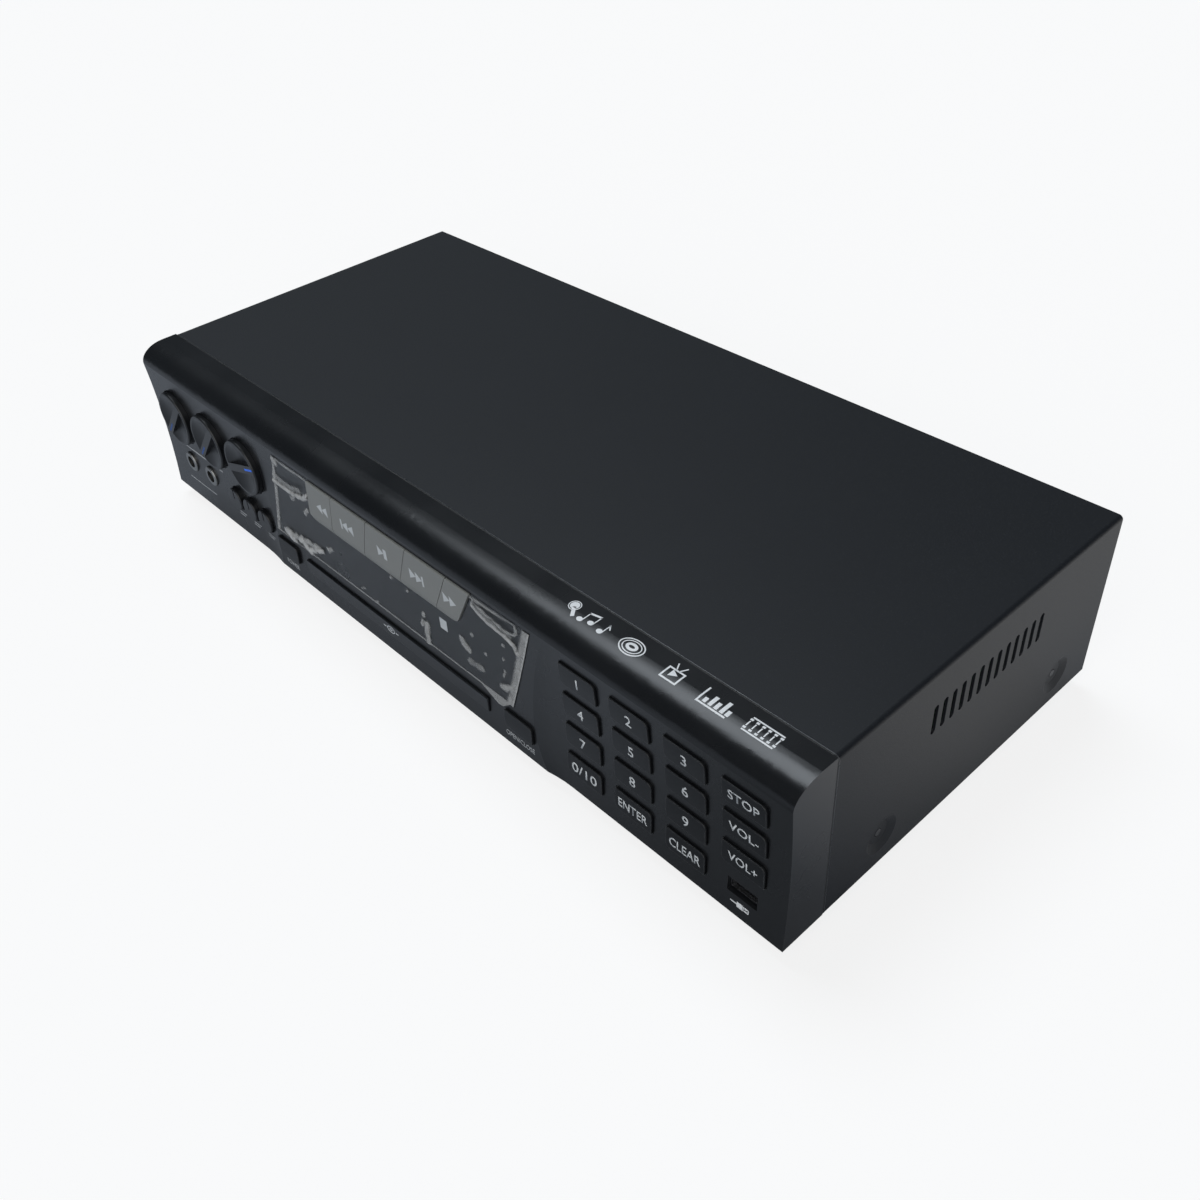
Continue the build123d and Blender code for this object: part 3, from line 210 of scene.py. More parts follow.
# smoked acrylic: near-black, polished, with hairlines and a faint smear
def smokedAcrylic(name, look):
    finish, tree, shader, place = startFinish(name)
    smear = cloudNoise(tree, place, look["smear"])
    paint(tree, shader, mixColours(tree, smear, look["colour"], look["faded"]))
    roughen(tree, shader, smear, look)
    hairs = cloudNoise(tree, stretchPlace(tree, place, look["hairs"], look["hairTurn"]), 1.0, 2)
    bumpFrom(tree, shader, hairs, look["hairDepth"], 0.3)
    shader.inputs["Specular IOR Level"].default_value = look["gloss"]
    return finish


# clear film: see-through where it lies flat, milky where its own attribute says; that white is partly the
# film's haze and partly a painted highlight on its creases and ends
def clearFilm(name, look):
    finish, tree, shader, place = startFinish(name)
    hazeAndGlint = tree.nodes.new("ShaderNodeAttribute")
    hazeAndGlint.attribute_name = "hazeAndGlint"
    ripple = cloudNoise(tree, place, look["ripple"])
    paint(tree, shader, mixColours(tree, ripple, look["colour"], look["faded"]))
    tree.links.new(hazeAndGlint.outputs["Fac"], shader.inputs["Alpha"])
    roughen(tree, shader, ripple, look)
    bumpFrom(tree, shader, ripple, look["rippleDepth"], 0.6)
    return finish


# zinc-plated sheet with spangle, rolling streaks and duller patches
def platedSheet(name, look):
    finish, tree, shader, place = startFinish(name)
    spangle = tree.nodes.new("ShaderNodeTexVoronoi")
    spangle.inputs["Scale"].default_value = 1 / look["spangle"]
    tree.links.new(place, spangle.inputs["Vector"])
    shade = spread(tree, spangle.outputs["Color"], 0, 1, 0, look["spangleShare"])
    colour = mixColours(tree, shade, look["colour"], look["dull"])
    streaks = cloudNoise(tree, stretchPlace(tree, place, look["streaks"]), 1.0, 3)
    colour = mixColours(tree, spread(tree, streaks, 0.45, 0.75, 0, 0.4), colour, look["dull"])
    paint(tree, shader, colour)
    roughen(tree, shader, streaks, look)
    bumpFrom(tree, shader, streaks, look["streakDepth"], 0.4)
    shader.inputs["Metallic"].default_value = 1
    return finish


# rubber with dust in its pores
def dustyRubber(name, look):
    finish, tree, shader, place = startFinish(name)
    dust = spread(tree, cloudNoise(tree, place, look["dust"]), 0.5, 0.75, 0, look["dustShare"])
    paint(tree, shader, mixColours(tree, dust, look["colour"], look["dusty"]))
    bumpFrom(tree, shader, cloudNoise(tree, place, look["grain"], 4), look["grainDepth"], 0.6)
    shader.inputs["Roughness"].default_value = look["rough"]
    return finish


# green laminate with straight tracks under the lacquer, which change direction from patch to patch
def trackedBoard(name, look):
    finish, tree, shader, place = startFinish(name)
    patches = tree.nodes.new("ShaderNodeTexVoronoi")
    patches.distance = "CHEBYCHEV"
    patches.inputs["Scale"].default_value = 1 / look["patch"]
    tree.links.new(place, patches.inputs["Vector"])
    # leaned by an eighth of a turn, its Y runs across flat boards and up the upright ones
    leaning = stretchPlace(tree, place, (1, 1, 1), (math.pi / 4, 0, 0))
    lanes = []
    for bands, course in (("X", place), ("Y", leaning)):
        wave = tree.nodes.new("ShaderNodeTexWave")
        wave.bands_direction = bands
        wave.inputs["Scale"].default_value = wavePeriod / look["trackPitch"]
        tree.links.new(course, wave.inputs["Vector"])
        lanes.append(spread(tree, wave.outputs["Fac"], 0.62, 0.72, 0, 1))
    turned = spread(tree, patches.outputs["Color"], 0.49, 0.51, 0, 1)
    laid = spread(tree, cloudNoise(tree, place, look["patch"]), 0.46, 0.48, 0, 1)
    tracks = mixColours(tree, laid, (0, 0, 0), mixColours(tree, turned, lanes[0], lanes[1]))
    colour = mixColours(tree, tracks, look["colour"], look["track"])
    weave = cloudNoise(tree, place, look["weave"])
    colour = mixColours(tree, spread(tree, weave, 0.4, 0.7, 0, 0.35), colour, look["pale"])
    paint(tree, shader, colour)
    bumpFrom(tree, shader, tracks, look["trackRise"], 0.8)
    roughen(tree, shader, weave, look)
    return finish


# steel core built of stamped sheets
def stackedCore(name, look):
    finish, tree, shader, place = startFinish(name)
    sheets = tree.nodes.new("ShaderNodeTexWave")
    sheets.bands_direction = "Y"
    sheets.inputs["Scale"].default_value = wavePeriod / look["sheet"]
    sheets.inputs["Distortion"].default_value = 0.3
    tree.links.new(place, sheets.inputs["Vector"])
    rust = spread(tree, cloudNoise(tree, place, look["rustSize"]), 0.55, 0.8, 0, 0.5)
    colour = mixColours(tree, sheets.outputs["Fac"], look["colour"], look["gap"])
    paint(tree, shader, mixColours(tree, rust, colour, look["rust"]))
    bumpFrom(tree, shader, sheets.outputs["Fac"], look["sheet"] * 0.3, 0.6)
    shader.inputs["Roughness"].default_value = look["rough"]
    shader.inputs["Metallic"].default_value = 0.7
    return finish


satinBlack = {
    "colour": (0.0045, 0.0049, 0.0057), "faded": (0.0065, 0.0070, 0.0080),
    "wornAndLitEdge": (0.05, 0.052, 0.055), "edge": 0.4 * mm, "wearAndHighlightShare": 0.35,
    "cloud": 40 * mm, "grain": 0.35 * mm, "grainDepth": 0.012 * mm, "grainStrength": 0.7,
    "rough": (0.25, 0.31), "gloss": 0.42,
}
# the keys' edges are far lighter than their faces: a painted highlight along every key edge, with some wear
keyBlack = dict(
    satinBlack, grain=0.25 * mm, grainStrength=0.45, rough=(0.28, 0.36), gloss=0.27,
    wornAndLitEdge=(0.15, 0.155, 0.162), edge=0.6 * mm, wearAndHighlightShare=0.65,
)
knobBlack = dict(satinBlack, grain=0.3 * mm, grainStrength=0.5, rough=(0.30, 0.38))
trayBlack = dict(satinBlack, colour=(0.028, 0.029, 0.031), faded=(0.036, 0.037, 0.039), rough=(0.42, 0.52))
loaderBlack = dict(trayBlack, colour=(0.018, 0.018, 0.019), faded=(0.024, 0.024, 0.025))
stripGrey = dict(
    satinBlack, colour=(0.165, 0.168, 0.158), faded=(0.195, 0.198, 0.188), wornAndLitEdge=(0.26, 0.26, 0.25),
    rough=(0.35, 0.45), cloud=18 * mm, wearAndHighlightShare=0.5,
)
gearWhite = dict(
    satinBlack, colour=(0.72, 0.71, 0.66), faded=(0.80, 0.79, 0.75), wornAndLitEdge=(0.9, 0.9, 0.88),
    rough=(0.3, 0.4), cloud=8 * mm,
)
digitBlock = dict(satinBlack, colour=(0.03, 0.03, 0.033), faded=(0.04, 0.04, 0.043), cloud=6 * mm)
printWhite = dict(
    satinBlack, colour=(0.70, 0.72, 0.73), faded=(0.80, 0.81, 0.82), wornAndLitEdge=(0.6, 0.6, 0.6),
    rough=(0.45, 0.6), cloud=3 * mm, edge=0.02 * mm, wearAndHighlightShare=0.0,
)
printSoft = dict(printWhite, colour=(0.52, 0.54, 0.55), faded=(0.62, 0.64, 0.65))
printUnderFilm = dict(printWhite, colour=(0.42, 0.44, 0.45), faded=(0.50, 0.52, 0.53))
printGrey = dict(printWhite, colour=(0.30, 0.31, 0.32), faded=(0.40, 0.41, 0.42))
pointerBlue = dict(printWhite, colour=(0.02, 0.12, 0.72), faded=(0.03, 0.18, 0.80))
pointerDim = dict(printWhite, colour=(0.015, 0.06, 0.22), faded=(0.02, 0.07, 0.26))
coverBlack = {
    "colour": (0.0044, 0.0054, 0.0074), "faded": (0.0060, 0.0074, 0.0100),
    "bright": (0.040, 0.045, 0.052), "sparkle": 0.32, "wornAndLitEdge": (0.09, 0.095, 0.10),
    "edge": 0.5 * mm, "wearAndHighlightShare": 0.4, "cloud": 60 * mm, "grain": 0.42 * mm, "peel": 2.6 * mm,
    "peelDepth": 0.006 * mm, "grainDepth": 0.03 * mm, "grainStrength": 0.8,
    "rough": (0.46, 0.56), "gloss": 0.38,
}
# the hem is lighter than the cover paint: a painted highlight along the folded edge
hemHighlightBlack = dict(
    satinBlack, colour=(0.020, 0.022, 0.025), faded=(0.030, 0.033, 0.037), cloud=9 * mm, gloss=0.6,
)
windowSmoke = {
    "colour": (0.008, 0.009, 0.010), "faded": (0.011, 0.012, 0.013), "smear": 30 * mm,
    "rough": (0.27, 0.33), "hairs": (40, 40, 900), "hairTurn": (0, 0.5, 0), "hairDepth": 0.0004 * mm,
    "gloss": 0.4,
}
filmClear = {
    "colour": (0.38, 0.38, 0.37), "faded": (0.50, 0.50, 0.49), "ripple": 7 * mm,
    "rippleDepth": 0.25 * mm, "rough": (0.22, 0.34),
}
zincSheet = {
    "colour": (0.60, 0.61, 0.62), "dull": (0.42, 0.43, 0.45), "spangle": 7 * mm, "spangleShare": 0.5,
    "streaks": (30, 900, 30), "streakDepth": 0.01 * mm, "rough": (0.30, 0.46),
}
nickelPlate = dict(
    zincSheet, colour=(0.27, 0.27, 0.26), dull=(0.18, 0.175, 0.17), spangle=2 * mm, rough=(0.30, 0.42),
)
brightSteel = dict(
    zincSheet, colour=(0.70, 0.70, 0.71), dull=(0.58, 0.58, 0.6), spangle=1 * mm, rough=(0.16, 0.28),
)
castMetal = dict(
    zincSheet, colour=(0.52, 0.52, 0.53), dull=(0.40, 0.40, 0.42), spangle=0.8 * mm, rough=(0.4, 0.55),
)
blackSteel = dict(
    zincSheet, colour=(0.055, 0.055, 0.06), dull=(0.09, 0.088, 0.085), spangle=0.5 * mm, rough=(0.26, 0.4),
)
footBlack = {
    "colour": (0.018, 0.018, 0.018), "dusty": (0.08, 0.078, 0.075), "dust": 3 * mm, "dustShare": 0.6,
    "grain": 0.3 * mm, "grainDepth": 0.05 * mm, "rough": 0.75,
}
beltBlack = dict(footBlack, dust=1 * mm, dustShare=0.3, rough=0.6)
boardGreen = {
    "colour": (0.012, 0.085, 0.032), "track": (0.03, 0.17, 0.07), "pale": (0.03, 0.12, 0.05),
    "trackPitch": 2 * mm, "patch": 14 * mm, "trackRise": 0.05 * mm, "weave": 0.8 * mm, "rough": (0.28, 0.4),
}
coreSteel = {
    "colour": (0.16, 0.16, 0.17), "gap": (0.05, 0.05, 0.055), "rust": (0.16, 0.08, 0.04),
    "sheet": 0.5 * mm, "rustSize": 6 * mm, "rough": 0.5,
}

# one finish for each material of the frame, and the hem's own
finishes = {
    "fascia": mouldedPlastic("satinFascia", satinBlack),
    "window": smokedAcrylic("smokedWindow", windowSmoke),
    "film": clearFilm("protectiveFilm", filmClear),
    "key_plastic": mouldedPlastic("keyMoulding", keyBlack),
    "strip_plastic": mouldedPlastic("stripMoulding", stripGrey),
    "knob_plastic": mouldedPlastic("knobMoulding", knobBlack),
    "cover_paint": powderCoat("coverPowderCoat", coverBlack),
    "chassis_steel": platedSheet("zincSheet", zincSheet),
    "screw_steel": platedSheet("blackenedSteel", blackSteel),
    "foot_rubber": dustyRubber("footRubber", footBlack),
    "socket_metal": platedSheet("nickelPlate", nickelPlate),
    "bright_metal": platedSheet("brightSteel", brightSteel),
    "circuit_board": trackedBoard("boardLaminate", boardGreen),
    "switch_plastic": mouldedPlastic("switchMoulding", loaderBlack),
    "display_face": mouldedPlastic("digitBlock", digitBlock),
    "tray_plastic": mouldedPlastic("trayMoulding", trayBlack),
    "loader_plastic": mouldedPlastic("loaderMoulding", loaderBlack),
    "pickup_metal": platedSheet("castPickup", castMetal),
    "gear_plastic": mouldedPlastic("gearMoulding", gearWhite),
    "belt_rubber": dustyRubber("beltRubber", beltBlack),
    "core_steel": stackedCore("coreSteel", coreSteel),
    "hem": mouldedPlastic("coverHem", hemHighlightBlack),
}
prints = {
    "white": mouldedPlastic("whitePrint", printWhite),
    "soft": mouldedPlastic("softPrint", printSoft),
    "underFilm": mouldedPlastic("filmedPrint", printUnderFilm),
    "grey": mouldedPlastic("greyPrint", printGrey),
    "blue": mouldedPlastic("bluePointer", pointerBlue),
    "dimBlue": mouldedPlastic("dimPointer", pointerDim),
}
for node in nodes.values():
    node.data.materials[0] = finishes[node.data.materials[0].name]
print("finishes on", len(nodes), "nodes")


# a finished shape becomes a piece that moves with the given body
def finishPiece(name, shape, finish, body, smooth=False):
    mesh = bpy.data.meshes.new(name)
    bmesh.ops.recalc_face_normals(shape, faces=shape.faces)
    shape.to_mesh(mesh)
    shape.free()
    mesh.materials.append(finish)
    if smooth:
        mesh.shade_smooth()
    piece = bpy.data.objects.new(name, mesh)
    bpy.context.scene.collection.objects.link(piece)
    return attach(piece, body)


# flat print shapes, in millimetres round their own middle

def addBar(shape, x, y, wide, tall, turn=0.0):
    corners = bmesh.ops.create_grid(shape, x_segments=1, y_segments=1, size=0.5)["verts"]
    bmesh.ops.scale(shape, verts=corners, vec=(wide, tall, 1))
    bmesh.ops.rotate(shape, verts=corners, matrix=Matrix.Rotation(math.radians(turn), 3, "Z"))
    bmesh.ops.translate(shape, verts=corners, vec=(x, y, 0))


def addDot(shape, x, y, radius, sides=24, turn=0.0, squeeze=1.0):
    rim = bmesh.ops.create_circle(shape, cap_ends=True, radius=radius, segments=sides)["verts"]
    bmesh.ops.rotate(shape, verts=rim, matrix=Matrix.Rotation(math.radians(turn), 3, "Z"))
    bmesh.ops.scale(shape, verts=rim, vec=(1, squeeze, 1))
    bmesh.ops.translate(shape, verts=rim, vec=(x, y, 0))
    return rim


def addRing(shape, x, y, radius, line, sides=32, turn=0.0, squeeze=1.0):
    rim = addDot(shape, x, y, radius, sides, turn, squeeze)
    disc = rim[0].link_faces[0]
    bmesh.ops.inset_region(shape, faces=[disc], thickness=line, use_boundary=True, use_even_offset=True)
    bmesh.ops.delete(shape, geom=[disc], context="FACES_ONLY")


# arrow head of the given height whose tip points to the side given by way
def addArrow(shape, x, tall, long, way):
    corners = bmesh.ops.create_circle(shape, cap_ends=True, radius=1, segments=3)["verts"]
    bmesh.ops.rotate(shape, verts=corners, matrix=Matrix.Rotation(math.radians(-90 * way), 3, "Z"))
    bmesh.ops.scale(shape, verts=corners, vec=(long / 1.5, tall / math.sqrt(3), 1))
    bmesh.ops.translate(shape, verts=corners, vec=(x - way * long / 6, 0, 0))


lettering = {"embolden": 0.009, "capShare": 0.73, "curveSteps": 3}


def wordShape(words, tall, wide=None):
    curve = bpy.data.curves.new("legend", "FONT")
    curve.body = words
    curve.align_x = "CENTER"
    curve.offset = lettering["embolden"]
    curve.resolution_u = lettering["curveSteps"]
    holder = bpy.data.objects.new("legend", curve)
    bpy.context.scene.collection.objects.link(holder)
    bpy.context.view_layer.update()
    flat = bpy.data.meshes.new_from_object(holder.evaluated_get(bpy.context.evaluated_depsgraph_get()))
    shape = bmesh.new()
    shape.from_mesh(flat)
    bpy.data.objects.remove(holder)
    bpy.data.curves.remove(curve)
    bpy.data.meshes.remove(flat)
    size = tall / lettering["capShare"]
    bmesh.ops.scale(shape, verts=shape.verts, vec=(size, size, 1))
    left = min(vert.co.x for vert in shape.verts)
    right = max(vert.co.x for vert in shape.verts)
    stretch = wide / (right - left) if wide else 1
    bmesh.ops.translate(shape, verts=shape.verts, vec=(-(left + right) / 2, -tall / 2, 0))
    bmesh.ops.scale(shape, verts=shape.verts, vec=(stretch, 1, 1))
    return shape


# laying prints on the moulded surfaces

surfaces = {}
ink = {"lift": 0.03, "thick": 0.03, "slice": 1.0}


def surfaceOf(name):
    if name not in surfaces:
        mesh = nodes[name].data
        corners = [vert.co for vert in mesh.vertices]
        surfaces[name] = BVHTree.FromPolygons(corners, [tuple(face.vertices) for face in mesh.polygons])
    return surfaces[name]


def sliceShape(shape, axis, step):
    low = min(vert.co[axis] for vert in shape.verts)
    high = max(vert.co[axis] for vert in shape.verts)
    across = Vector((0, 0, 0))
    across[axis] = 1
    for index in range(1, int((high - low) / step)):
        cut = across * (low + index * step)
        whole = shape.verts[:] + shape.edges[:] + shape.faces[:]
        bmesh.ops.bisect_plane(shape, geom=whole, plane_co=cut, plane_no=across, dist=1e-5)


# the flat shape is thrown onto the node along the ray and lies just proud of its surface
def layPrint(name, shape, onNode, middle, ray, colour, body, curved=False):
    if curved:
        sliceShape(shape, 1, ink["slice"])
    upright = abs(ray.y) > 0.5
    surface = surfaceOf(onNode)
    missed = 0
    for vert in shape.verts:
        flat = vert.co * mm
        start = middle + (Vector((flat.x, 0, flat.y)) if upright else Vector((flat.x, flat.y, 0)))
        hit = surface.ray_cast(start, ray)[0]
        if hit is None:
            missed += 1
            hit = start
        vert.co = hit - ray * ink["lift"] * mm
    if missed:
        print("print", name, "misses its surface at", missed, "points")
    bmesh.ops.recalc_face_normals(shape, faces=shape.faces)
    facing = sum((face.normal * face.calc_area() for face in shape.faces), Vector())
    if facing.dot(ray) > 0:
        bmesh.ops.reverse_faces(shape, faces=shape.faces)
    bmesh.ops.solidify(shape, geom=shape.faces[:], thickness=ink["thick"] * mm)
    return finishPiece(name, shape, prints[colour], body)


inward = Vector((0, 1, 0))
downward = Vector((0, 0, -1))
inFront = -12.0  # rays start this far before the front crease, in mm

# legends of the keypad: node, words, height, width
keyLegends = [("key_%d" % digit, str(digit), 5.0, None) for digit in range(1, 10)]
keyLegends += [
    ("key_zero", "0/10", 4.8, 14.0),
    ("key_enter", "ENTER", 4.5, 15.2),
    ("key_clear", "CLEAR", 4.5, 15.2),
    ("key_stop", "STOP", 4.3, 13.5),
    ("key_volume_down", "VOL-", 4.2, 13.0),
    ("key_volume_up", "VOL+", 4.2, 13.0),
]
for nodeName, words, tall, wide in keyLegends:
    low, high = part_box(nodeName)
    middle = Vector(((low.x + high.x) / 2, spot(0, 0, inFront).y, (low.z + high.z) / 2))
    shape = wordShape(words, tall, wide)
    layPrint(nodeName + "_legend", shape, nodeName, middle, inward, "soft", nodeName)

# small words under the two long buttons: middle and height, height of the letters, width
buttonLegends = (
    ("open_close_legend", "OPEN/CLOSE", 78.3, 5.2, 2.6, 17.8),
    ("power_legend", "POWER", -94.2, 5.2, 2.6, 11.0),
)
for name, words, x, height, tall, wide in buttonLegends:
    shape = wordShape(words, tall, wide)
    layPrint(name, shape, "front_fascia", spot(x, height, inFront), inward, "grey", "housing")


# transport icons on the strip

transport = {"tall": 5.2, "long": 4.2, "bar": 1.1, "height": 58.0}


def transportShape(marks):
    shape = bmesh.new()
    long = transport["long"]
    wide = sum(transport["bar"] if mark == "|" else long for mark in marks)
    x = -wide / 2
    for mark in marks:
        if mark == "|":
            addBar(shape, x + transport["bar"] / 2, 0, transport["bar"], transport["tall"])
            x += transport["bar"]
        else:
            addArrow(shape, x + long / 2, transport["tall"], long, 1 if mark == ">" else -1)
            x += long
    return shape


transportIcons = (
    ("key_rewind", "<<", -50.5),
    ("key_previous", "|<<", -30.7),
    ("key_play", ">||", -4.3),
    ("key_next", ">>|", 20.0),
    ("key_forward", ">>", 42.0),
)
for nodeName, marks, x in transportIcons:
    middle = spot(x, transport["height"], inFront)
    layPrint(nodeName + "_icon", transportShape(marks), nodeName, middle, inward, "underFilm", nodeName)


# generic pictograms along the brow

def singerIcon():
    shape = bmesh.new()
    addDot(shape, -8.0, 1.6, 1.9)
    addBar(shape, -6.2, -1.0, 1.5, 5.0, 38)
    addRing(shape, -8.0, 1.6, 2.6, 0.35)
    for x, y in ((-1.5, -2.2), (3.2, -1.2), (8.6, -2.0)):
        addDot(shape, x, y, 1.35, squeeze=0.8)
        addBar(shape, x + 1.15, y + 2.4, 0.45, 4.8)
    addBar(shape, 2.0, 2.9, 5.2, 0.9, 12)
    addBar(shape, 10.4, 1.6, 0.5, 2.6, 40)
    return shape


def discIcon():
    shape = bmesh.new()
    addRing(shape, 0, 0, 5.6, 0.5, 40, squeeze=0.72)
    addRing(shape, 0, 0, 4.2, 0.4, 36, squeeze=0.72)
    addRing(shape, 0, 0, 2.6, 1.2, 32, squeeze=0.72)
    return shape


def screenIcon():
    shape = bmesh.new()
    addRing(shape, 0, -0.6, 5.4, 0.7, 4, 45, 0.78)
    addBar(shape, -1.4, 3.6, 0.5, 3.4, 28)
    addBar(shape, 1.4, 3.6, 0.5, 3.4, -28)
    addArrow(shape, 0.2, 3.4, 3.2, 1)
    return shape


def levelsIcon():
    shape = bmesh.new()
    addBar(shape, -6.2, 0, 0.7, 7.6)
    addBar(shape, 0, -3.4, 12.6, 0.7)
    for x, tall in ((-3.8, 2.2), (-1.3, 4.6), (1.2, 3.2), (3.7, 5.6), (6.0, 2.6)):
        addBar(shape, x, -2.6 + tall / 2, 1.5, tall)
    return shape


def reelIcon():
    shape = bmesh.new()
    addBar(shape, 0, 3.1, 13.0, 0.6)
    addBar(shape, 0, -3.1, 13.0, 0.6)
    for index in range(6):
        x = -6.2 + index * 2.48
        addBar(shape, x, 2.0, 1.2, 0.9)
        addBar(shape, x, -2.0, 1.2, 0.9)
        addBar(shape, x, 0, 0.5, 2.4)
    return shape


browIcons = (
    ("brow_singer", singerIcon, 109.0),
    ("brow_disc", discIcon, 132.0),
    ("brow_screen", screenIcon, 152.0),
    ("brow_levels", levelsIcon, 171.7),
    ("brow_reel", reelIcon, 191.3),
)
brow = {"above": 95.0, "depth": 13.4}  # where the rays start, and the depth of the pictograms' middles
for name, makeShape, x in browIcons:
    above = spot(x, brow["above"], brow["depth"])
    layPrint(name, makeShape(), "front_fascia", above, downward, "white", "housing", curved=True)


# marks on the window, tray, knobs and sockets

stopMark = bmesh.new()
addBar(stopMark, 0, 0, 4.8, 5.6)
stopPlace = spot(33, 40, inFront)
layPrint("window_stop_mark", stopMark, "display_window", stopPlace, inward, "underFilm", "housing")

discMark = bmesh.new()
addRing(discMark, 0, 0, 2.9, 0.45, 32, squeeze=0.62)
addRing(discMark, 0, 0, 1.1, 0.4, 20, squeeze=0.62)
addBar(discMark, -4.6, 0, 2.0, 0.5)
addBar(discMark, 4.6, 0, 2.0, 0.5)
layPrint("tray_disc_mark", discMark, "tray_front", spot(-9, 13.4, inFront), inward, "soft", "tray")

# a plain plug with its lead for the port
plugMark = bmesh.new()
addRing(plugMark, 2.2, 0, 1.9, 0.4, 4, 45, 0.8)
addBar(plugMark, 2.2, 0.5, 1.0, 0.4)
addBar(plugMark, 2.2, -0.5, 1.0, 0.4)
addBar(plugMark, -0.6, 0, 2.6, 2.6)
addBar(plugMark, -3.4, 0, 3.0, 0.6)
layPrint("port_mark", plugMark, "front_fascia", spot(195.6, 6.2, inFront), inward, "white", "housing")

# thin lines that group the controls: middle, height, length, thickness
labelLines = (
    (-177.5, 30.1, 43.0, 0.8),
    (-185.0, 9.6, 28.0, 0.5),
)
for number, (x, height, long, thick) in enumerate(labelLines, 1):
    shape = bmesh.new()
    addBar(shape, 0, 0, long, thick)
    name = "group_line_%d" % number
    layPrint(name, shape, "front_fascia", spot(x, height, inFront), inward, "grey", "housing")

# bars under the small knobs stand for their words
for side in ("left", "middle", "right"):
    low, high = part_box("small_knob_" + side)
    x = (low.x + high.x) / 2 / mm
    shape = bmesh.new()
    addBar(shape, 0, 0, 8.5, 0.5)
    addBar(shape, 0, -1.4, 5.5, 0.5)
    name = "small_label_" + side
    layPrint(name, shape, "front_fascia", spot(x, 11.5, inFront), inward, "grey", "housing")

# pointer lines on the fins of the large knobs
pointer = {"start": 5.0, "end": 13.2, "wide": 1.1, "turns": {"left": 228, "middle": 228, "right": 18}}
for side, turn in pointer["turns"].items():
    nodeName = "large_knob_" + side
    low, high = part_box(nodeName)
    centre = Vector(((low.x + high.x) / 2, spot(0, 0, inFront).y, (low.z + high.z) / 2))
    shape = bmesh.new()
    long = pointer["end"] - pointer["start"]
    addBar(shape, pointer["start"] + long / 2, 0, long, pointer["wide"])
    bmesh.ops.rotate(shape, verts=shape.verts, matrix=Matrix.Rotation(math.radians(turn), 3, "Z"))
    colour = "blue" if side == "right" else "dimBlue"
    layPrint(nodeName + "_pointer", shape, nodeName, centre, inward, colour, nodeName, curved=True)
print("prints laid")


# protective film: cut fine, lifted into blisters and creases

film = {
    "slice": 0.8,
    "leftEnd": ((-103.0, 22.0), (-90.0, 69.5)), "leftBorder": 3.0,
    "rightEnd": ((76.0, 22.0), (91.5, 69.5)), "rightBorder": 4.4,
    # the ends, the right rim and the bottom edge whiten: partly haze, partly a painted highlight on the
    # film's edges
    "borderHazeAndGlint": 0.48, "rimLine": 0.8, "rimHazeAndGlint": 0.85,
    "bottomLine": 0.9, "bottomHazeAndGlint": 0.42, "mostHazeAndGlint": 0.95,
    "lie": 0.05, "swell": 0.03,  # how far it stands off the window, and how much that varies
    "grainScale": 0.3, "swellScale": 0.05, "raggedScale": 0.45, "ragged": 0.7,
    # middle x and height, half length, half width, turn in degrees, rise
    "blisters": (
        (-77.0, 62.5, 14.0, 5.5, 4.0, 1.0),
        (70.0, 65.0, 14.0, 3.6, -6.0, 0.8),
    ),
}
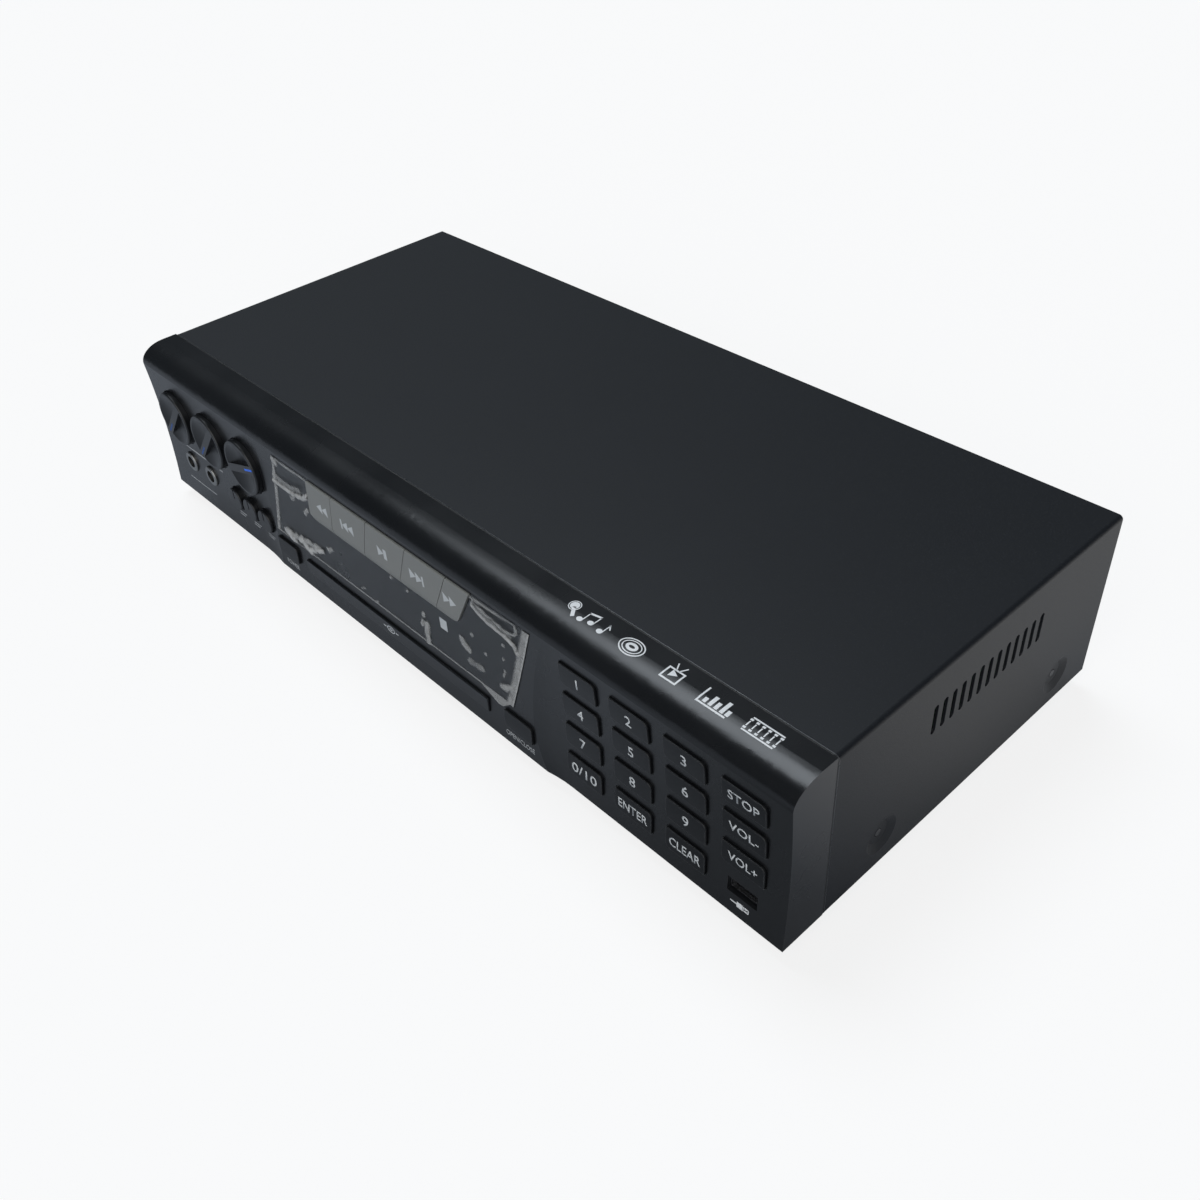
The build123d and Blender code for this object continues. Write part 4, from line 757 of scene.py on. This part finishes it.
# half width, rise and milky share of a crease, which is haze and a painted highlight along it, and the
# points it runs through (x and height)
creases = (
    (
        1.3, 0.9, 0.80, (-100.0, 54.6), (-90.0, 54.0), (-81.0, 53.8), (-73.0, 54.6), (-67.0, 56.3),
        (-62.3, 59.0),
    ),
    (1.0, 0.5, 0.35, (-62.3, 59.0), (-60.5, 63.0), (-60.0, 67.5)),
    (1.6, 0.5, 0.32, (-93.0, 58.0), (-84.0, 57.0), (-76.0, 57.2), (-70.0, 59.2)),
    (1.5, 0.4, 0.65, (-91.5, 68.2), (-87.0, 66.8)),
    (0.6, 0.2, 0.40, (-88.0, 68.4), (-61.0, 68.4)),
    (1.2, 0.3, 0.40, (-79.8, 50.3), (-77.8, 51.8)),
    (1.1, 0.4, 0.55, (-69.5, 46.8), (-66.5, 49.6)),
    (2.2, 1.0, 0.85, (-92.0, 26.2), (-86.5, 24.0)),
    (1.7, 0.9, 0.60, (-88.0, 26.6), (-80.0, 26.8)),
    (1.9, 1.1, 0.85, (-78.0, 28.0), (-74.5, 25.0), (-71.5, 24.0)),
    (1.4, 0.8, 0.55, (-75.0, 28.6), (-62.0, 30.0)),
    (1.2, 0.8, 0.90, (-71.0, 25.6), (-60.5, 29.8)),
    (1.2, 0.4, 0.50, (-54.3, 33.6), (-51.8, 34.9)),
    (0.6, 0.2, 0.25, (-29.5, 25.0), (-27.0, 26.6)),
    (0.6, 0.2, 0.30, (-19.5, 22.8), (-17.5, 23.9)),
    (0.9, 0.3, 0.55, (18.4, 36.6), (19.3, 38.2)),
    (1.3, 0.4, 0.45, (17.0, 31.6), (18.3, 32.9)),
    (1.6, 0.6, 0.55, (19.6, 22.6), (20.6, 33.2)),
    (1.7, 0.6, 0.42, (45.4, 39.8), (49.8, 36.8)),
    (0.6, 0.3, 0.75, (46.0, 37.8), (50.2, 35.4)),
    (1.5, 0.4, 0.26, (49.5, 30.4), (57.0, 31.2)),
    (1.4, 0.5, 0.55, (70.0, 29.4), (76.3, 32.2)),
    (0.5, 0.2, 0.50, (71.6, 36.0), (72.8, 39.5)),
    (0.7, 0.2, 0.50, (53.0, 46.4), (53.5, 47.0)),
    (0.6, 0.2, 0.45, (61.0, 41.0), (61.4, 41.6)),
    (0.7, 0.2, 0.50, (73.4, 53.0), (73.9, 53.5)),
    (0.5, 0.2, 0.40, (72.5, 45.5), (72.9, 46.0)),
    (0.6, 0.2, 0.40, (8.8, 44.3), (9.7, 45.3)),
    (0.6, 0.2, 0.40, (-2.9, 45.2), (-1.7, 46.2)),
    (0.5, 0.2, 0.35, (55.5, 67.6), (66.0, 68.2), (82.0, 68.8)),
    (
        0.5, 0.3, 0.45, (57.4, 66.2), (63.0, 65.5), (70.0, 64.6), (77.0, 63.3), (81.5, 63.3),
        (83.6, 65.0), (83.0, 68.0),
    ),
    (1.3, 0.5, 0.28, (60.0, 64.4), (68.0, 62.9), (79.0, 61.8)),
    (1.1, 0.9, 0.75, (57.2, 64.2), (60.5, 62.0), (68.0, 60.3), (76.0, 59.4), (81.0, 57.6), (82.6, 54.5)),
)


# distance of a point from the line between two ends
def fromLine(x, height, ends):
    (startX, startHeight), (endX, endHeight) = ends
    along = Vector((endX - startX, endHeight - startHeight))
    share = Vector((x - startX, height - startHeight)).dot(along) / along.length_squared
    share = min(1, max(0, share))
    foot = Vector((startX, startHeight)) + along * share
    return (Vector((x, height)) - foot).length


def filmNoise(x, height, scale, layer):
    return noise.noise(Vector((x * scale, height * scale, layer)))


# rise off the window in millimetres and milky share of the film at one point, part haze and part painted
# highlight
def filmForm(x, height):
    grain = filmNoise(x, height, film["grainScale"], 0)
    ragged = filmNoise(x, height, film["raggedScale"], 3)
    rise = film["lie"] + film["swell"] * filmNoise(x, height, film["swellScale"], 7)
    hazeAndGlint = 0
    leftAway = fromLine(x, height, film["leftEnd"]) / film["leftBorder"]
    rightAway = fromLine(x, height, film["rightEnd"]) / film["rightBorder"]
    for away in (leftAway, rightAway):
        hazeAndGlint = max(hazeAndGlint, film["borderHazeAndGlint"] * min(1, max(0, 1 - away) * 4) * (0.85 + 0.5 * grain))
    if rightAway * film["rightBorder"] < film["rimLine"]:
        hazeAndGlint = film["rimHazeAndGlint"]
    if height < film["leftEnd"][0][1] + film["bottomLine"]:
        hazeAndGlint = max(hazeAndGlint, film["bottomHazeAndGlint"])
    for middleX, middleHeight, long, wide, turn, lift in film["blisters"]:
        away = Vector((x - middleX, height - middleHeight))
        away.rotate(Matrix.Rotation(math.radians(-turn), 2))
        rise += lift * max(0, 1 - (away.x / long) ** 2 - (away.y / wide) ** 2)
    for wide, lift, hazeAndGlintShare, *points in creases:
        away = min(fromLine(x, height, ends) for ends in zip(points, points[1:])) / wide
        away /= 1 + film["ragged"] * ragged
        if 0 <= away < 2:
            rise += lift * math.exp(-away * away)
            hazeAndGlint = max(hazeAndGlint, hazeAndGlintShare * min(1, max(0, 1.25 - away) * 2) * (0.9 + 0.5 * grain))
    return rise, min(film["mostHazeAndGlint"], max(0, hazeAndGlint))


def wrinkledFilm():
    shape = bmesh.new()
    shape.from_mesh(nodes["protective_film"].data)
    bmesh.ops.remove_doubles(shape, verts=shape.verts, dist=0.001 * mm)
    sliceShape(shape, 0, film["slice"] * mm)
    sliceShape(shape, 2, film["slice"] * mm)
    hazeAndGlintLayer = shape.verts.layers.float.new("hazeAndGlint")
    for vert in shape.verts:
        x = vert.co.x / mm
        height = vert.co.z / mm - machine["bodyZ"]
        rise, hazeAndGlint = filmForm(x, height)
        vert.co.y -= rise * mm
        vert[hazeAndGlintLayer] = hazeAndGlint
    piece = finishPiece("wrinkled_film", shape, finishes["film"], "housing", True)
    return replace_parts(piece, "protective_film")


wrinkledFilm()
print("film wrinkled")


# coloured insulators in the mouths of the rear sockets

rearRings = {"outer": 3.2, "wall": 1.45, "depth": 202.0, "thick": 0.06, "fade": 1.15}
# name and colour of each tint, and the middles (x and height) of the sockets that wear it
insulators = (
    ("yellow", (0.62, 0.42, 0.02), ((100.0, 34.0), (100.0, 20.0))),
    ("white", (0.62, 0.62, 0.60), ((116.0, 20.0),)),
    ("red", (0.48, 0.02, 0.02), ((148.0, 34.0), (132.0, 20.0))),
    ("green", (0.03, 0.28, 0.06), ((116.0, 34.0),)),
    ("blue", (0.02, 0.08, 0.42), ((132.0, 34.0),)),
    ("orange", (0.60, 0.18, 0.02), ((148.0, 20.0),)),
)


def socketRings(tint, colour, places):
    shape = bmesh.new()
    for x, height in places:
        addRing(shape, x, height, rearRings["outer"], rearRings["wall"])
    bmesh.ops.solidify(shape, geom=shape.faces[:], thickness=rearRings["thick"])
    stand = Matrix.Translation(spot(0, 0, rearRings["depth"] + rearRings["thick"]))
    stand @= Matrix.Rotation(math.radians(90), 4, "X") @ Matrix.Scale(mm, 4)
    bmesh.ops.transform(shape, verts=shape.verts, matrix=stand)
    pale = tuple(part * rearRings["fade"] for part in colour)
    look = dict(satinBlack, colour=colour, faded=pale, wornAndLitEdge=colour, cloud=3 * mm)
    return finishPiece("socket_rings_" + tint, shape, mouldedPlastic("insulator_" + tint, look), "housing")


for insulator in insulators:
    socketRings(*insulator)
print("socket rings in")


# folded hem along the cover's front edge, lighter in colour as a painted highlight, and a dark strip before
# it that paints the shadow in the joint

cover = {"half": 215.0, "top": 79.8, "bend": 2.0, "front": 21.45, "foot": 0.6}
# name and finish of each trim, the depth of its middle, its half width and its rise above the sheet
trims = (
    ("joint_shadow", "belt_rubber", -0.12, 0.24, 0.05),
    ("cover_hem", "hem", 0.42, 0.24, 0.13),
)


# points along the cover's outline and the outward direction at each
def coverOutline(steps=6):
    outline = [(-cover["half"], cover["foot"], 180.0)]
    for hand in (-1, 1):
        for index in range(steps + 1):
            share = index / steps
            turn = 180 - 90 * share if hand < 0 else 90 - 90 * share
            x = hand * (cover["half"] - cover["bend"]) + cover["bend"] * math.cos(math.radians(turn))
            height = cover["top"] - cover["bend"] + cover["bend"] * math.sin(math.radians(turn))
            outline.append((x, height, turn))
    outline.append((cover["half"], cover["foot"], 0.0))
    return outline


# a flattened round is drawn along the outline, ring after ring
def edgeTrim(name, finish, offset, halfWide, rise, sides=8):
    places = []
    for x, height, turn in coverOutline():
        place = Matrix.Translation(spot(x, height, cover["front"] + offset))
        place @= Matrix.Rotation(-math.radians(turn), 4, "Y")
        places.append(place @ Matrix.Diagonal((rise * mm, halfWide * mm, 1, 1)))
    shape = bmesh.new()
    ring = bmesh.ops.create_circle(shape, cap_ends=True, radius=1, segments=sides)["verts"]
    bmesh.ops.transform(shape, verts=ring, matrix=places[0])
    rim = shape.edges[:]
    for before, after in zip(places, places[1:]):
        grown = bmesh.ops.extrude_edge_only(shape, edges=rim)["geom"]
        rim = [part for part in grown if isinstance(part, bmesh.types.BMEdge)]
        ring = [part for part in grown if isinstance(part, bmesh.types.BMVert)]
        bmesh.ops.transform(shape, verts=ring, matrix=after @ before.inverted())
    bmesh.ops.contextual_create(shape, geom=rim)
    return finishPiece(name, shape, finishes[finish], "housing", True)


for trim in trims:
    edgeTrim(*trim)
print("hem laid")


# cross-head screws in the places of the plain ones

screwHead = {
    "sides": 28, "thick": 1.5, "round": 0.9, "slot": 0.75, "slotLong": 3.6, "slotDeep": 1.1,
    "slotFoot": 0.45, "slotMouth": 1.0, "acrossFlats": 1.41,  # of a four-sided cone of radius 1
    "shankSides": 16, "sunk": 0.05,  # how far the shank runs into the head
    "shank": 0.48, "tip": 0.7,  # shares of the head's radius and of the shank's
    "stops": (31, 57),  # turns each cross by the screw's own place
}


# the vertices of each screw by itself
def looseParts(shape):
    left = set(shape.verts)
    while left:
        part = set()
        edge = [left.pop()]
        while edge:
            vert = edge.pop()
            part.add(vert)
            near = [link.other_vert(vert) for link in vert.link_edges]
            edge += [other for other in near if other in left]
            left.difference_update(near)
        yield part


# the blank's mesh less the tool
def cutAway(blank, tool):
    pieces = []
    for name, shape in (("blank", blank), ("tool", tool)):
        mesh = bpy.data.meshes.new(name)
        shape.to_mesh(mesh)
        shape.free()
        piece = bpy.data.objects.new(name, mesh)
        bpy.context.scene.collection.objects.link(piece)
        pieces.append(piece)
    cut = pieces[0].modifiers.new("cut", "BOOLEAN")
    cut.object = pieces[1]
    cut.solver = "EXACT"
    bpy.context.view_layer.update()
    mesh = bpy.data.meshes.new_from_object(pieces[0].evaluated_get(bpy.context.evaluated_depsgraph_get()))
    for piece in pieces:
        bpy.data.objects.remove(piece)
    return mesh


# head and shank along +Z, the underside of the head at zero
def crossHeadScrew(headRadius, headThick, shankRadius, shankLong):
    blank = bmesh.new()
    sides = screwHead["sides"]
    head = bmesh.ops.create_cone(
        blank, cap_ends=True, segments=sides, radius1=headRadius, radius2=headRadius, depth=headThick,
    )["verts"]
    bmesh.ops.translate(blank, verts=head, vec=(0, 0, headThick / 2))
    rim = [edge for edge in blank.edges if all(vert.co.z > headThick * 0.9 for vert in edge.verts)]
    bmesh.ops.bevel(
        blank, geom=rim, offset=screwHead["round"] * mm, offset_type="OFFSET", segments=5,
        profile=0.5, affect="EDGES", material=-1,
    )
    shank = bmesh.ops.create_cone(
        blank, cap_ends=True, segments=screwHead["shankSides"], radius1=shankRadius * screwHead["tip"],
        radius2=shankRadius, depth=shankLong,
    )["verts"]
    bmesh.ops.translate(blank, verts=shank, vec=(0, 0, -shankLong / 2 + screwHead["sunk"] * mm))
    tool = bmesh.new()
    long = screwHead["slotLong"] / screwHead["acrossFlats"]
    wide = screwHead["slot"] / screwHead["acrossFlats"]
    for turn in (0, math.pi / 2):
        arm = bmesh.ops.create_cone(
            tool, cap_ends=True, segments=4, radius1=screwHead["slotFoot"] * mm,
            radius2=screwHead["slotMouth"] * mm, depth=screwHead["slotDeep"] * 2 * mm,
        )["verts"]
        bmesh.ops.rotate(tool, verts=arm, matrix=Matrix.Rotation(math.pi / 4, 3, "Z"))
        bmesh.ops.scale(tool, verts=arm, vec=(long, wide, 1))
        bmesh.ops.rotate(tool, verts=arm, matrix=Matrix.Rotation(turn, 3, "Z"))
        bmesh.ops.translate(tool, verts=arm, vec=(0, 0, headThick))
    return cutAway(blank, tool)


def machineScrews():
    plain = bmesh.new()
    plain.from_mesh(nodes["screws"].data)
    bmesh.ops.remove_doubles(plain, verts=plain.verts, dist=0.001 * mm)
    shape = bmesh.new()
    centre = (cadLow + cadHigh) / 2
    headThick = screwHead["thick"] * mm
    for part in looseParts(plain):
        low = Vector([min(vert.co[axis] for vert in part) for axis in range(3)])
        high = Vector([max(vert.co[axis] for vert in part) for axis in range(3)])
        size = high - low
        axis = max(range(3), key=lambda which: size[which])
        headRadius = size[(axis + 1) % 3] / 2
        middle = (low + high) / 2
        outward = Vector((0, 0, 0))
        outward[axis] = 1 if middle[axis] > centre[axis] else -1
        shankRadius = headRadius * screwHead["shank"]
        screw = crossHeadScrew(headRadius, headThick, shankRadius, size[axis] - headThick)
        seat = middle + outward * (size[axis] / 2 - headThick)
        turn = Vector((0, 0, 1)).rotation_difference(outward).to_matrix()
        stops = screwHead["stops"]
        slotTurn = Matrix.Rotation(middle.x * stops[0] + middle.y * stops[1], 3, "Z")
        screw.transform(Matrix.Translation(seat) @ (turn @ slotTurn).to_4x4())
        shape.from_mesh(screw)
        bpy.data.meshes.remove(screw)
    plain.free()
    piece = finishPiece("machine_screws", shape, finishes["screw_steel"], "housing")
    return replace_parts(piece, "screws")


machineScrews()
print("screws set")


# studio

studio = {
    "floorSize": 12.0, "floorColour": (0.98, 0.98, 0.98), "floorLift": 0.8,
    # the darker mirrored colour, its spot and reach make a floor patch seen only in reflections: painted
    # shade on the keys
    "mirrored": (0.50, 0.53, 0.58), "mirroredShade": (0.16, 0.17, 0.18),
    "paintedShadeSpot": (0.20, -0.17, 0), "paintedShadeReach": (0.02, 0.13),
    # beside and behind bound a floor glow seen only in reflections, a painted reflection on the machine's
    # side
    "besideX": (0.20, 0.27), "behindY": (-0.07, 0.03), "sideReflectionGlow": 0.95,
    "backdrop": (0.96, 0.96, 0.96), "ambient": 0.09, "surround": (0.72, 0.86, 1.0),
}
# where each lamp shines from, its strength, spread in degrees and colour
lamps = {
    "keyLight": ((-0.40, 0.12, 0.90), 1.4, 32, (0.86, 0.93, 1.0)),
    "topLight": ((0.45, -0.75, 0.55), 2.0, 70, (1, 1, 1)),
}


def paleFloor():
    shape = bmesh.new()
    bmesh.ops.create_grid(shape, x_segments=2, y_segments=2, size=studio["floorSize"] / 2)
    mesh = bpy.data.meshes.new("pale_floor")
    shape.to_mesh(mesh)
    shape.free()
    floor = bpy.data.objects.new("pale_floor", mesh)
    bpy.context.scene.collection.objects.link(floor)
    finish, tree, shader, place = startFinish("paleFloor")
    shader.inputs["Roughness"].default_value = 0.9
    shader.inputs["Specular IOR Level"].default_value = 0.1
    # part of the floor's white is its own, as of a lit sweep, and the rest keeps the shadow
    glow = tree.nodes.new("ShaderNodeEmission")
    rays = tree.nodes.new("ShaderNodeLightPath")
    # white to the camera, grey where the machine mirrors it, with a darker patch before the keypad that
    # only reflections see, a painted shade on the keys and face
    gap = tree.nodes.new("ShaderNodeVectorMath")
    gap.operation = "DISTANCE"
    tree.links.new(place, gap.inputs[0])
    gap.inputs[1].default_value = studio["paintedShadeSpot"]
    paintedShade = spread(tree, gap.outputs["Value"], *studio["paintedShadeReach"], 1, 0)
    mirrored = mixColours(tree, paintedShade, studio["mirrored"], studio["mirroredShade"])
    seen = mixColours(tree, rays.outputs["Is Camera Ray"], mirrored, studio["floorColour"])
    paint(tree, shader, seen)
    share = scaled(tree, rays.outputs["Is Camera Ray"], studio["floorLift"])
    # beside the machine the floor glows for glossy rays alone: a painted reflection that lightens the
    # polished side
    apart = tree.nodes.new("ShaderNodeSeparateXYZ")
    tree.links.new(place, apart.inputs[0])
    beside = spread(tree, apart.outputs["X"], *studio["besideX"], 0, studio["sideReflectionGlow"])
    behind = spread(tree, apart.outputs["Y"], *studio["behindY"], 0, 1)
    mirror = tree.nodes.new("ShaderNodeMath")  # the two shares of the glow together
    mirror.operation = "MULTIPLY_ADD"
    tree.links.new(rays.outputs["Is Glossy Ray"], mirror.inputs[0])
    tree.links.new(scaled(tree, beside, behind), mirror.inputs[1])
    tree.links.new(share, mirror.inputs[2])
    mix = tree.nodes.new("ShaderNodeMixShader")
    tree.links.new(mirror.outputs[0], mix.inputs[0])
    tree.links.new(shader.outputs[0], mix.inputs[1])
    tree.links.new(glow.outputs[0], mix.inputs[2])
    tree.links.new(mix.outputs[0], tree.nodes["Material Output"].inputs["Surface"])
    mesh.materials.append(finish)


def softSun(name, source, strength, spreadDegrees, colour):
    lamp = bpy.data.lights.new(name, "SUN")
    lamp.color = colour
    lamp.energy = strength
    lamp.angle = math.radians(spreadDegrees)
    holder = bpy.data.objects.new(name, lamp)
    holder.rotation_mode = "QUATERNION"
    holder.rotation_quaternion = Vector(source).to_track_quat("Z", "Y")
    bpy.context.scene.collection.objects.link(holder)


def studioWorld():
    world = bpy.data.worlds.new("studioWorld")
    world.use_nodes = True
    tree = world.node_tree
    surround = tree.nodes["Background"]
    surround.inputs["Color"].default_value = (*studio["surround"], 1)
    surround.inputs["Strength"].default_value = studio["ambient"]
    backdrop = tree.nodes.new("ShaderNodeBackground")
    backdrop.inputs["Color"].default_value = (*studio["backdrop"], 1)
    rays = tree.nodes.new("ShaderNodeLightPath")
    mix = tree.nodes.new("ShaderNodeMixShader")
    tree.links.new(rays.outputs["Is Camera Ray"], mix.inputs[0])
    tree.links.new(surround.outputs[0], mix.inputs[1])
    tree.links.new(backdrop.outputs[0], mix.inputs[2])
    tree.links.new(mix.outputs[0], tree.nodes["World Output"].inputs["Surface"])
    bpy.context.scene.world = world


camera = {
    "place": (0.3592, -0.29355, 0.361),
    "towards": (-0.58749, 0.50210, -0.63463),
    "roll": -4.13,
    "lens": 35.78,
    "sensor": 36,
    "nearest": 0.01,
}


def setCamera():
    lens = bpy.data.cameras.new("productCamera")
    lens.lens = camera["lens"]
    lens.sensor_width = camera["sensor"]
    lens.clip_start = camera["nearest"]
    holder = bpy.data.objects.new("productCamera", lens)
    level = Vector(camera["towards"]).to_track_quat("-Z", "Y").to_matrix()
    roll = Matrix.Rotation(math.radians(camera["roll"]), 3, "Z")
    holder.matrix_world = Matrix.Translation(camera["place"]) @ (level @ roll).to_4x4()
    bpy.context.scene.collection.objects.link(holder)
    bpy.context.scene.camera = holder


paleFloor()
for lamp in lamps:
    softSun(lamp, *lamps[lamp])
studioWorld()
setCamera()
bpy.context.scene.view_settings.view_transform = "Standard"
print("studio ready")

bpy.context.view_layer.update()
